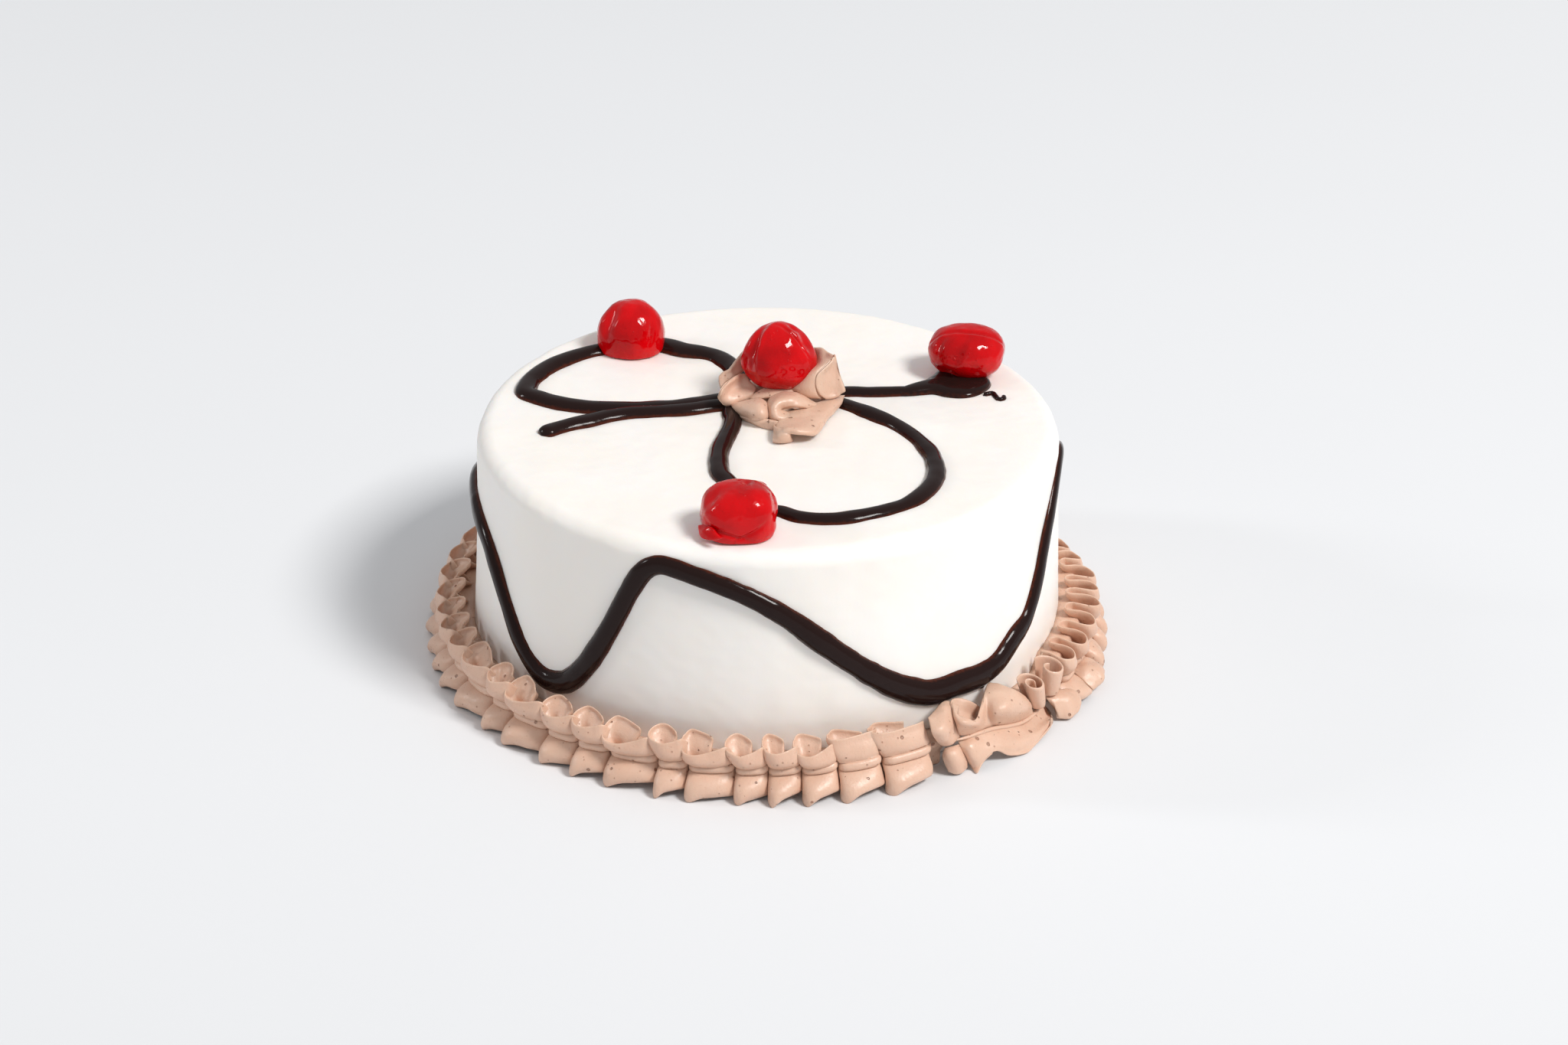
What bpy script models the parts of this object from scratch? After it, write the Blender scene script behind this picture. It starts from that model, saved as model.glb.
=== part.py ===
"""An uncut round cake: white frosting, chocolate lines, a piped rosette, four cherries and a ruffle.

Every length in this file is in millimetres and turned into metres when a mesh is made.
+Z is up, the origin is the centre of the flat underside and -Y is the front.
"""
import math
import random

import bmesh
import bpy
import numpy as np
from mathutils import Vector

MM = 0.001
GAP = 0.3

# frosted body
BASE_RADIUS = 90.0
TOP_RADIUS = 87.2
HEIGHT = 72.0
EDGE_ROUND = 5.0
BODY_STEPS = 72
ROUND_STEPS = 4

# chocolate lines
LINE_RADIUS = 3.2
LINE_SINK = 1.0
LINE_SPACING = 7.0
POOL_HEIGHT = 2.2
POOL_CENTRE = (59.5, 25.5)
POOL_RADII = (9.0, 11.0)

# ruffle border
RUFFLE_HEIGHT = 16.6
RUFFLE_THICKNESS = 2.0
RUFFLE_STATIONS = 8
RUFFLE_LEAN = 0.33
RUFFLE_SEED = 7
# height, then the middle of the sheet at its outermost and innermost
RUFFLE_ROWS = ((0.0, 104.4, 91.7), (8.5, 97.8, 91.5), (12.0, 100.0, 91.4), (RUFFLE_HEIGHT, 100.8, 91.2))
# angles of the left edges of the rolls at the front, in degrees from +X
FRONT_ROLLS = (207, 216.5, 222, 231, 237.5, 243.5, 252.5, 257.5, 265.5, 271, 276.5, 282.5, 290, 298, 305, 319)
BACK_ROLL_PITCH = 7.3

# rosette
ROSETTE_CENTRE = (4.5, 12.0)
ROSETTE_RADIUS = 18.5
CHERRY_RINGS = 10
CHERRY_STEPS = 16


def surface_radius(z):
    """Outer radius of the frosted side at a height."""
    start = HEIGHT - EDGE_ROUND
    taper = BASE_RADIUS + (TOP_RADIUS - BASE_RADIUS) * min(z, start) / HEIGHT
    if z <= start:
        return taper
    rise = min(z - start, EDGE_ROUND)
    return taper - EDGE_ROUND + math.sqrt(EDGE_ROUND ** 2 - rise ** 2)


def collection(name):
    """A new collection under the scene."""
    made = bpy.data.collections.new(name)
    bpy.context.scene.collection.children.link(made)
    return made


def mesh_object(name, points, faces, home):
    """An object from points in millimetres, its faces turned outward."""
    mesh = bpy.data.meshes.new(name)
    mesh.from_pydata([tuple(float(c) * MM for c in p) for p in points], [], faces)
    work = bmesh.new()
    work.from_mesh(mesh)
    bmesh.ops.remove_doubles(work, verts=work.verts, dist=0.00001)
    bmesh.ops.recalc_face_normals(work, faces=work.faces)
    work.to_mesh(mesh)
    work.free()
    obj = bpy.data.objects.new(name, mesh)
    home.objects.link(obj)
    return obj


def settle(obj, home, name):
    """Replace an object by a mesh of what its modifiers or bevel give."""
    graph = bpy.context.evaluated_depsgraph_get()
    mesh = bpy.data.meshes.new_from_object(obj.evaluated_get(graph))
    work = bmesh.new()
    work.from_mesh(mesh)
    bmesh.ops.remove_doubles(work, verts=work.verts, dist=0.00001)
    bmesh.ops.recalc_face_normals(work, faces=work.faces)
    work.to_mesh(mesh)
    work.free()
    bpy.data.objects.remove(obj)
    made = bpy.data.objects.new(name, mesh)
    home.objects.link(made)
    return made


def keep_largest(obj):
    """Leave only the largest connected piece of a mesh."""
    work = bmesh.new()
    work.from_mesh(obj.data)
    left = set(work.verts)
    islands = []
    while left:
        stack = [left.pop()]
        island = set(stack)
        while stack:
            for edge in stack.pop().link_edges:
                for vert in edge.verts:
                    if vert not in island:
                        island.add(vert)
                        stack.append(vert)
        left -= island
        islands.append(island)
    islands.sort(key=len, reverse=True)
    for island in islands[1:]:
        bmesh.ops.delete(work, geom=list(island), context="VERTS")
    work.to_mesh(obj.data)
    work.free()


def combine(base, operands, operation, home):
    """One Boolean of a mesh and a whole collection, applied; the collection is then removed."""
    name = base.name
    step = base.modifiers.new("combine", "BOOLEAN")
    step.operation = operation
    step.operand_type = "COLLECTION"
    step.collection = operands
    step.solver = "EXACT"
    made = settle(base, home, name + "_joined")
    for obj in list(operands.objects):
        bpy.data.objects.remove(obj)
    bpy.data.collections.remove(operands)
    made.name = name
    made.data.name = name
    return made


def smooth_path(points, spacing, closed=False):
    """Evenly spaced points on a smooth curve through a few points."""
    pts = np.array(points, float)
    if closed:
        ring = np.concatenate([pts[-1:], pts, pts[:2]])
    else:
        ring = np.concatenate([2 * pts[:1] - pts[1:2], pts, 2 * pts[-1:] - pts[-2:-1]])
    t = np.linspace(0, 1, 24, endpoint=False)[:, None]
    dense = []
    for a, b, c, d in zip(ring[:-3], ring[1:-2], ring[2:-1], ring[3:]):
        dense.append(0.5 * (2 * b + (c - a) * t + (2 * a - 5 * b + 4 * c - d) * t ** 2
                            + (3 * b - a - 3 * c + d) * t ** 3))
    dense = np.concatenate(dense + [ring[-2:-1]])
    run = np.concatenate([[0], np.cumsum(np.linalg.norm(np.diff(dense, axis=0), axis=1))])
    count = max(3, round(run[-1] / spacing) + 1)
    at = np.linspace(0, run[-1], count)
    out = np.stack([np.interp(at, run, dense[:, k]) for k in range(dense.shape[1])], axis=1)
    return out[:-1] if closed else out


def line(name, points, home, closed=False):
    """A round bead of chocolate along points in millimetres."""
    curve = bpy.data.curves.new(name, "CURVE")
    curve.dimensions = "3D"
    curve.bevel_depth = LINE_RADIUS * MM
    curve.bevel_resolution = 2
    curve.use_fill_caps = True
    curve.twist_mode = "Z_UP"
    spline = curve.splines.new("POLY")
    spline.points.add(len(points) - 1)
    for slot, p in zip(spline.points, points):
        slot.co = (p[0] * MM, p[1] * MM, p[2] * MM, 1.0)
    spline.use_cyclic_u = closed
    obj = bpy.data.objects.new(name, curve)
    home.objects.link(obj)
    return settle(obj, home, name)


def top_line(name, plan, home):
    """A line lying on the flat top, from a few points in plan."""
    path = smooth_path(plan, LINE_SPACING)
    return line(name, [(x, y, HEIGHT - LINE_SINK) for x, y in path], home)


def side_line(name, home):
    """The wavy line round the side, from a few pairs of angle and height."""
    pairs = ((190, 51), (200, 47.5), (208, 38), (216, 24.5), (225, 20.7), (232, 26), (238, 38),
             (245, 59), (251, 66), (262, 61.5), (274, 52), (289, 33), (298, 24), (307, 21.3), (317, 21.8),
             (328, 29.5), (337, 47), (343, 62), (350, 68.5), (358, 63), (369, 42), (381, 24), (392, 20.9),
             (404, 27), (418, 46), (432, 62), (446, 60), (462, 41), (478, 24), (490, 20.9), (503, 27),
             (520, 41))
    path = smooth_path([(a * math.radians(1) * BASE_RADIUS, z) for a, z in pairs]
                       + [((190 + 360) * math.radians(1) * BASE_RADIUS, 51)], LINE_SPACING)[:-1]
    points = []
    for run, z in path:
        angle = run / BASE_RADIUS
        radius = surface_radius(z) - LINE_SINK
        points.append((radius * math.cos(angle), radius * math.sin(angle), z))
    return line(name, points, home, closed=True)


def pool(name, home):
    """The flat puddle of chocolate under the right cherry."""
    steps = 20
    rings = ((1.0, -LINE_SINK), (1.0, 0.35 * POOL_HEIGHT), (0.86, POOL_HEIGHT))
    points = [(POOL_CENTRE[0], POOL_CENTRE[1], HEIGHT - LINE_SINK), (POOL_CENTRE[0], POOL_CENTRE[1],
                                                                    HEIGHT + POOL_HEIGHT)]
    for share, rise in rings:
        for k in range(steps):
            a = 2 * math.pi * k / steps
            points.append((POOL_CENTRE[0] + share * POOL_RADII[0] * math.cos(a),
                           POOL_CENTRE[1] + share * POOL_RADII[1] * math.sin(a), HEIGHT + rise))
    faces = []
    for k in range(steps):
        n = (k + 1) % steps
        faces.append((0, 2 + n, 2 + k))
        faces.append((1, 2 + 2 * steps + k, 2 + 2 * steps + n))
        for row in range(2):
            a = 2 + row * steps
            faces.append((a + k, a + n, a + steps + n, a + steps + k))
    return mesh_object(name, points, faces, home)


def cake(home):
    """The frosted body turned from its profile, with the chocolate fused to it."""
    start = HEIGHT - EDGE_ROUND
    profile = [(0, 0), (BASE_RADIUS, 0)]
    for k in range(ROUND_STEPS + 1):
        a = 0.5 * math.pi * k / ROUND_STEPS
        profile.append((surface_radius(start) - EDGE_ROUND * (1 - math.cos(a)), start + EDGE_ROUND * math.sin(a)))
    profile.append((0, HEIGHT))
    mesh = bpy.data.meshes.new("cake")
    edges = [(k, k + 1) for k in range(len(profile) - 1)]
    mesh.from_pydata([(x * MM, 0, z * MM) for x, z in profile], edges, [])
    body = bpy.data.objects.new("cake", mesh)
    home.objects.link(body)
    turn = body.modifiers.new("turn", "SCREW")
    turn.angle = 2 * math.pi
    turn.steps = BODY_STEPS
    turn.render_steps = BODY_STEPS
    turn.use_merge_vertices = True
    turn.merge_threshold = 0.00001
    body = settle(body, home, "cake")

    lines = collection("chocolate")
    side_line("side_line", lines)
    top_line("left_loop_back", [(-19.5, 46.8), (-25, 48.5), (-30.5, 51)], lines)
    top_line("left_loop", [(-56.2, 46.5), (-62, 42), (-67.5, 36.5), (-71.5, 30), (-73.7, 23), (-73.5, 16.5),
                           (-69.5, 12.5), (-64, 9.3), (-56.5, 6.8), (-50, 6.2), (-40, 6.2), (-30, 6.6),
                           (-22, 8.8), (-16.5, 11.5)], lines)
    top_line("left_tail", [(-66.7, -11.5), (-62, -7.5), (-53.5, -3.2), (-47, 0.5), (-40, 3.5), (-31, 4.8)], lines)
    top_line("front_loop_left", [(-12.5, 2), (-11, -5), (-12.7, -13.4), (-14.3, -22), (-14.5, -31),
                                 (-13.6, -38), (-10.8, -43.1), (-6.5, -50), (-5, -56)], lines)
    top_line("front_loop_right", [(3.5, -61), (9, -65), (16.7, -66.3), (24.2, -64.8), (33, -61), (40.4, -55.2),
                                  (46, -46.4), (48.7, -37.8), (49, -30), (47.6, -21.8), (44, -13), (39, -4.7),
                                  (31.8, 2.8), (25.5, 9)], lines)
    top_line("right_line", [(26.5, 18.8), (31, 18.7), (40, 19.7), (46, 21.2), (52, 24)], lines)
    pool("pool", lines)
    return combine(body, lines, "UNION", home)


def roll_edges():
    """Angle in degrees of the left edge of every roll of the ruffle, once round."""
    rng = random.Random(RUFFLE_SEED)
    span = FRONT_ROLLS[0] + 360 - FRONT_ROLLS[-1]
    count = round(span / BACK_ROLL_PITCH)
    widths = [rng.uniform(0.8, 1.2) for _ in range(count)]
    scale = span / sum(widths)
    edges = list(FRONT_ROLLS)
    for width in widths[:-1]:
        edges.append(edges[-1] + width * scale)
    return np.array(edges + [FRONT_ROLLS[0] + 360.0])


def ruffle(home):
    """The folded sheet: a leaning closed meander at four heights, given a thickness."""
    edges = roll_edges()
    rolls = len(edges) - 1
    s = np.arange(rolls * RUFFLE_STATIONS) / RUFFLE_STATIONS
    index = np.floor(s).astype(int)
    t = 2 * math.pi * s
    middle = 0.5 * (RUFFLE_ROWS[0][1] + RUFFLE_ROWS[0][2])
    width = np.radians(np.diff(edges)) * middle
    knots = np.arange(rolls + 1)
    pitch = np.interp(s, knots, np.append(width, width[0]))
    along = np.radians(np.interp(s, knots, edges)) * middle
    along += RUFFLE_LEAN * pitch * (1 - np.cos(t)) + (0.6 + 0.035 * pitch) * np.sin(2 * t)
    rng = random.Random(RUFFLE_SEED + 1)
    reach = np.array([rng.uniform(0.86, 1.0) for _ in range(rolls)])[index]
    lift = np.array([rng.uniform(-0.6, 0.0) for _ in range(rolls + 1)])
    lift[-1] = lift[0]
    lift = np.interp(s, knots, lift)
    sides = []
    for z, outer, inner in RUFFLE_ROWS:
        swing = 0.5 * (outer - inner)
        radius = 0.5 * (outer + inner) + swing * np.cos(t)
        radius = np.where(np.cos(t) > 0, 0.5 * (outer + inner) + swing * reach * np.cos(t), radius)
        angle = along / middle
        plan = np.stack([radius * np.cos(angle), radius * np.sin(angle)], axis=1)
        ahead = np.roll(plan, -1, axis=0) - np.roll(plan, 1, axis=0)
        ahead /= np.linalg.norm(ahead, axis=1)[:, None]
        out = np.stack([ahead[:, 1], -ahead[:, 0]], axis=1) * 0.5 * RUFFLE_THICKNESS
        height = z + (lift if z == RUFFLE_HEIGHT else 0 * lift)
        sides.append((np.column_stack([plan + out, height]), np.column_stack([plan - out, height])))
    columns = [side[0] for side in sides] + [side[1] for side in reversed(sides)]
    count = len(s)
    points = np.concatenate(columns)
    faces = []
    for c in range(len(columns)):
        d = (c + 1) % len(columns)
        for k in range(count):
            n = (k + 1) % count
            faces.append((c * count + k, c * count + n, d * count + n, d * count + k))
    return mesh_object("ruffle_border", points, faces, home)


def cherry_points(centre, radii, foot, flare, dents, grow=0.0):
    """A dented ball with a flat foot: its points in rings from the top, poles first and last."""
    points = []
    for ring in range(CHERRY_RINGS + 1):
        polar = math.pi * ring / CHERRY_RINGS
        steps = 1 if ring in (0, CHERRY_RINGS) else CHERRY_STEPS
        for k in range(steps):
            turn = 2 * math.pi * k / CHERRY_STEPS
            way = Vector((math.sin(polar) * math.cos(turn), math.sin(polar) * math.sin(turn), math.cos(polar)))
            size = 1.0
            for toward, depth, spread in dents:
                near = (way - Vector(toward).normalized()).length / spread
                size -= depth * math.exp(-near * near)
            spot = Vector((way.x * radii[0], way.y * radii[1], way.z * radii[2])) * size
            if spot.length > 0:
                spot += spot.normalized() * grow
            low = max(0.0, -way.z)
            spread_out = 1 + flare * low
            spot.x *= spread_out
            spot.y *= spread_out
            spot.z = max(spot.z, foot - centre[2] - grow + 0.02 * (spot.z - foot + centre[2]))
            points.append((centre[0] + spot.x, centre[1] + spot.y, centre[2] + spot.z))
    return points


def ball(name, points, home):
    """Close rings of cherry points into a solid."""
    faces = []
    last = len(points) - 1

    def spot(ring, k):
        if ring == 0:
            return 0
        if ring == CHERRY_RINGS:
            return last
        return 1 + (ring - 1) * CHERRY_STEPS + k % CHERRY_STEPS

    for ring in range(CHERRY_RINGS):
        for k in range(CHERRY_STEPS):
            quad = [spot(ring, k), spot(ring + 1, k), spot(ring + 1, k + 1), spot(ring, k + 1)]
            faces.append(tuple(dict.fromkeys(quad)))
    return mesh_object(name, points, faces, home)


# centre, radii, height of the foot, flare of the foot, dents as direction, depth and spread
CHERRIES = {
    "cherry_centre": ((3.3, 14.0, 87.0), (11.5, 11.2, 10.4), 78.0, 0.0,
                      (((0.75, -0.1, 0.75), 0.13, 0.35), ((-0.95, -0.25, 0.5), 0.12, 0.45),
                       ((0.5, 0.5, 0.7), 0.10, 0.5))),
    "cherry_back_left": ((-43.9, 51.0, 78.0), (10.1, 10.3, 10.0), HEIGHT + GAP, 0.18,
                         (((-0.8, -0.4, 0.6), 0.06, 0.4), ((0.6, 0.2, 0.8), 0.05, 0.5))),
    "cherry_right": ((61.3, 34.0, 82.4), (11.4, 10.8, 9.2), HEIGHT + POOL_HEIGHT + GAP, 0.0,
                     (((-0.55, -0.75, -0.35), 0.17, 0.3), ((-0.2, -0.3, 0.95), 0.05, 0.5),
                      ((-0.35, -0.85, 0.25), 0.05, 0.35))),
    "cherry_front": ((-8.6, -73.3, 79.0), (10.1, 9.9, 9.2), HEIGHT + GAP, 0.05,
                     (((0.2, 0.2, 0.95), 0.05, 0.3), ((-0.3, -0.9, -0.25), 0.05, 0.5))),
}


def cherry(name, home, grow=0.0):
    """One cherry by name, or a grown copy of it for a hollow."""
    centre, radii, foot, flare, dents = CHERRIES[name]
    return ball(name, cherry_points(centre, radii, foot, flare, dents, grow), home)


def scoop(name, spine, rho, start, sweep, home, thickness=2.2):
    """A curled sheet of cream: arcs of growing radius strung along a spine, closed into a solid.

    start and sweep are in degrees about the spine, measured from straight up.
    """
    path = smooth_path(spine, np.linalg.norm(np.array(spine[-1]) - np.array(spine[0])) / 4)
    rows = len(path)
    share = np.linspace(0, 1, rows)
    radius = np.interp(share, np.linspace(0, 1, len(rho)), rho)
    arc = 8
    ahead = np.gradient(path, axis=0)
    ahead /= np.linalg.norm(ahead, axis=1)[:, None]
    up = np.array([0, 0, 1.0]) - ahead[:, 2:3] * ahead
    up /= np.linalg.norm(up, axis=1)[:, None]
    side = np.cross(ahead, up)
    points = []
    for layer in (0.5, -0.5):
        for k in range(arc + 1):
            a = math.radians(start + sweep * (k / arc - 0.5))
            reach = np.maximum(radius + layer * thickness, 0.25)[:, None]
            points.append(path + reach * (math.cos(a) * up + math.sin(a) * side))
    grid = np.concatenate(points[:arc + 1] + points[:arc:-1])
    columns = 2 * (arc + 1)
    faces = []
    for c in range(columns):
        d = (c + 1) % columns
        for r in range(rows - 1):
            faces.append((c * rows + r, c * rows + r + 1, d * rows + r + 1, d * rows + r))
    for r in (0, rows - 1):
        for k in range(arc):
            a = k
            b = columns - 1 - k
            faces.append((a * rows + r, (a + 1) * rows + r, (b - 1) * rows + r, b * rows + r))
    return mesh_object(name, grid, faces, home)


def rosette(home):
    """The piped rosette: a low mound, curled folds round it and a hollow for its cherry."""
    cx, cy = ROSETTE_CENTRE
    floor = HEIGHT + GAP
    steps = 24
    rings = ((0.0, 0.97, 0.80), (0.25, 1.0, 0.86), (0.55, 0.84, 0.74), (0.80, 0.60, 0.5))
    tall = 9.5
    points = [(cx, cy, floor), (cx, cy, floor + tall)]
    for rise, share, _ in rings:
        for k in range(steps):
            a = 2 * math.pi * k / steps
            wave = 1 + 0.04 * math.sin(5 * a + 1) + 0.03 * math.sin(8 * a)
            reach = ROSETTE_RADIUS * 0.84 * share * wave
            points.append((cx + reach * math.cos(a), cy + reach * math.sin(a), floor + rise * tall))
    faces = []
    for k in range(steps):
        n = (k + 1) % steps
        faces.append((0, 2 + n, 2 + k))
        top = 2 + (len(rings) - 1) * steps
        faces.append((1, top + k, top + n))
        for row in range(len(rings) - 1):
            a = 2 + row * steps
            faces.append((a + k, a + n, a + steps + n, a + steps + k))
    mound = mesh_object("rosette", points, faces, home)

    folds = collection("folds")
    z = floor
    scoop("cone", [(cx + 1, cy - 3, z + 6), (cx + 7, cy - 2.2, z + 7.8), (cx + 13, cy - 1.5, z + 9.4)],
          (1.6, 4.0, 5.6), 200, 250, folds)
    scoop("sheet_right", [(cx + 9, cy + 8, z + 5), (cx + 14, cy + 4, z + 7), (cx + 18.3, cy - 2, z + 7)],
          (4.0, 5.0, 5.5), 80, 110, folds)
    scoop("fold_left", [(cx - 9, cy - 2, z + 3), (cx - 3, cy - 8, z + 4.5), (cx + 1, cy - 12, z + 4)],
          (2.2, 3.6, 3.2), 0, 200, folds)
    scoop("fold_right", [(cx + 1, cy - 10, z + 4.6), (cx + 6, cy - 11, z + 4.4), (cx + 12, cy - 10, z + 3)],
          (3.2, 3.0, 1.6), 20, 190, folds)
    scoop("tongue", [(cx + 13, cy - 9, z + 2.2), (cx + 6, cy - 17, z + 1.2), (cx - 0.5, cy - 24, z + 0.4)],
          (4.0, 4.8, 2.4), 0, 120, folds)
    scoop("petal_front", [(cx - 4, cy - 4, z + 6), (cx - 10, cy - 6, z + 6), (cx - 17, cy - 6, z + 4)],
          (2.0, 4.2, 4.6), -20, 150, folds)
    scoop("petal_left", [(cx - 5, cy - 1, z + 6), (cx - 12, cy + 1, z + 7.5), (cx - 19.5, cy + 2, z + 6.5)],
          (2.0, 4.6, 5.4), 20, 150, folds)
    scoop("petal_back_left", [(cx - 5, cy + 5, z + 6), (cx - 11, cy + 9, z + 8), (cx - 16, cy + 12, z + 8)],
          (2.0, 4.6, 5.2), 20, 150, folds)
    scoop("petal_back", [(cx - 1, cy + 7, z + 6), (cx - 2, cy + 13, z + 8), (cx - 3, cy + 19, z + 8)],
          (2.0, 4.6, 5.2), 10, 160, folds)
    scoop("petal_back_right", [(cx + 4, cy + 6, z + 6), (cx + 10, cy + 11, z + 8), (cx + 14, cy + 14, z + 8)],
          (2.0, 4.6, 5.2), -10, 160, folds)
    joined = combine(mound, folds, "UNION", home)

    hollow = collection("hollow")
    cherry("cherry_centre", hollow, grow=GAP + 0.1)
    block = [(cx + x, cy + y, height) for height in (floor - ROSETTE_RADIUS, floor)
             for x, y in ((-40, -40), (40, -40), (40, 40), (-40, 40))]
    mesh_object("under", block, [(0, 1, 2, 3), (4, 5, 6, 7), (0, 1, 5, 4), (1, 2, 6, 5), (2, 3, 7, 6),
                                 (3, 0, 4, 7)], hollow)
    joined = combine(joined, hollow, "DIFFERENCE", home)
    keep_largest(joined)
    return joined


def material(name, color, roughness):
    """A plain material."""
    made = bpy.data.materials.new(name)
    made.use_nodes = True
    shader = made.node_tree.nodes["Principled BSDF"]
    shader.inputs["Base Color"].default_value = (*color, 1.0)
    shader.inputs["Roughness"].default_value = roughness
    return made


def main():
    """Build every solid and give it its material."""
    for obj in list(bpy.data.objects):
        bpy.data.objects.remove(obj)
    home = collection("black_forest_cake")
    made = [(cake(home), (0.9, 0.87, 0.82), 0.5), (ruffle(home), (0.66, 0.45, 0.35), 0.5),
            (rosette(home), (0.66, 0.45, 0.35), 0.5)]
    made += [(cherry(name, home), (0.6, 0.01, 0.02), 0.15) for name in CHERRIES]
    for obj, color, roughness in made:
        obj.data.materials.clear()
        obj.data.materials.append(material(obj.name, color, roughness))


main()
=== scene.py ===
"""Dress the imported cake: smooth white frosting, glossy chocolate lines, folded mocha cream and wet cherries.

Lengths are in millimetres and become metres when a mesh is made. +Z is up, -Y is the front and the
origin is the centre of the flat underside.
"""
import math

import bpy
import numpy as np
from mathutils import Matrix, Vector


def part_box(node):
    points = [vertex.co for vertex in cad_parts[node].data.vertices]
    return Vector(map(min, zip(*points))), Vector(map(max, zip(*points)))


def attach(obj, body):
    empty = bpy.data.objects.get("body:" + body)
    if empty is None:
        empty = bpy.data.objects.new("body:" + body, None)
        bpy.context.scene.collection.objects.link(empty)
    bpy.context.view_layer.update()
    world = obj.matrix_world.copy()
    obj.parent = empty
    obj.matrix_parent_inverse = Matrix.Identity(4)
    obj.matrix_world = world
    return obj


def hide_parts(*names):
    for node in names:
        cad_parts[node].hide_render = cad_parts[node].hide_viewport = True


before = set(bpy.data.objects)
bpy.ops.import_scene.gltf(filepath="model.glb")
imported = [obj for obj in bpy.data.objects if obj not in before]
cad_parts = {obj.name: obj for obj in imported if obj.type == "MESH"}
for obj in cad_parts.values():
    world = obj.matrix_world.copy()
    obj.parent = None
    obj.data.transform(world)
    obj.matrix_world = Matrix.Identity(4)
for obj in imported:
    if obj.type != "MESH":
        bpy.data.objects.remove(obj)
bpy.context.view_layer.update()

bl_info = {
    "name": "Black forest cake",
    "version": (1, 0, 0),
    "blender": (4, 5, 0),
    "location": "View3D > Sidebar > Cake",
    "description": "Frosting, chocolate lines, piped cream and cherries round the cake's solids",
    "category": "Add Mesh",
}

MM = 0.001
BODY = "root"
CAKE_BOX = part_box("cake")
RUFFLE_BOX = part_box("ruffle_border")


# sizes and colours that a user would change


def length_setting(name, default, least, what):
    """A length in millimetres that a user can set."""
    return bpy.props.FloatProperty(name=name, default=default, min=least, description=what + ", mm")


def colour_setting(name, default, what):
    """A linear colour that a user can set."""
    return bpy.props.FloatVectorProperty(name=name, default=default, description=what,
                                         subtype="COLOR", size=3, min=0, max=1)


class CakeSizes(bpy.types.PropertyGroup):
    """Sizes of the frosted body and of what lies on it."""

    base_radius: length_setting("Base radius", 90.0, 10.0, "Radius of the frosted side at the foot")
    top_radius: length_setting("Top radius", 87.2, 10.0, "Radius of the frosted side below the top edge")
    height: length_setting("Height", 72.0, 10.0, "Height of the flat top")
    edge_round: length_setting("Edge round", 5.0, 0.5, "Radius of the rounded top edge")
    line_width: length_setting("Line width", 6.4, 1.0, "Width of the chocolate lines")
    line_height: length_setting("Line height", 2.2, 0.3, "Height of the chocolate lines above the frosting")
    ruffle_height: length_setting("Ruffle height", 17.6, 5.0, "Height of the ruffle's lip beside the cake")
    ruffle_reach: length_setting("Ruffle reach", 105.0, 20.0, "Radius of the ruffle's foot")


class CakeColours(bpy.types.PropertyGroup):
    """Colours of the four foods and of the floor."""

    frosting: colour_setting("Frosting", (0.93, 0.895, 0.86), "White frosting")
    chocolate: colour_setting("Chocolate", (0.016, 0.007, 0.006), "Thick chocolate")
    thin_chocolate: colour_setting("Thin chocolate", (0.07, 0.014, 0.006), "Chocolate where it runs out thin")
    cream: colour_setting("Cream", (0.725, 0.482, 0.36), "Mocha cream")
    cherry: colour_setting("Cherry", (0.60, 0.0006, 0.003), "Glazed cherry")
    floor: colour_setting("Floor", (0.80, 0.81, 0.83), "Pale floor")


# meshes


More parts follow.
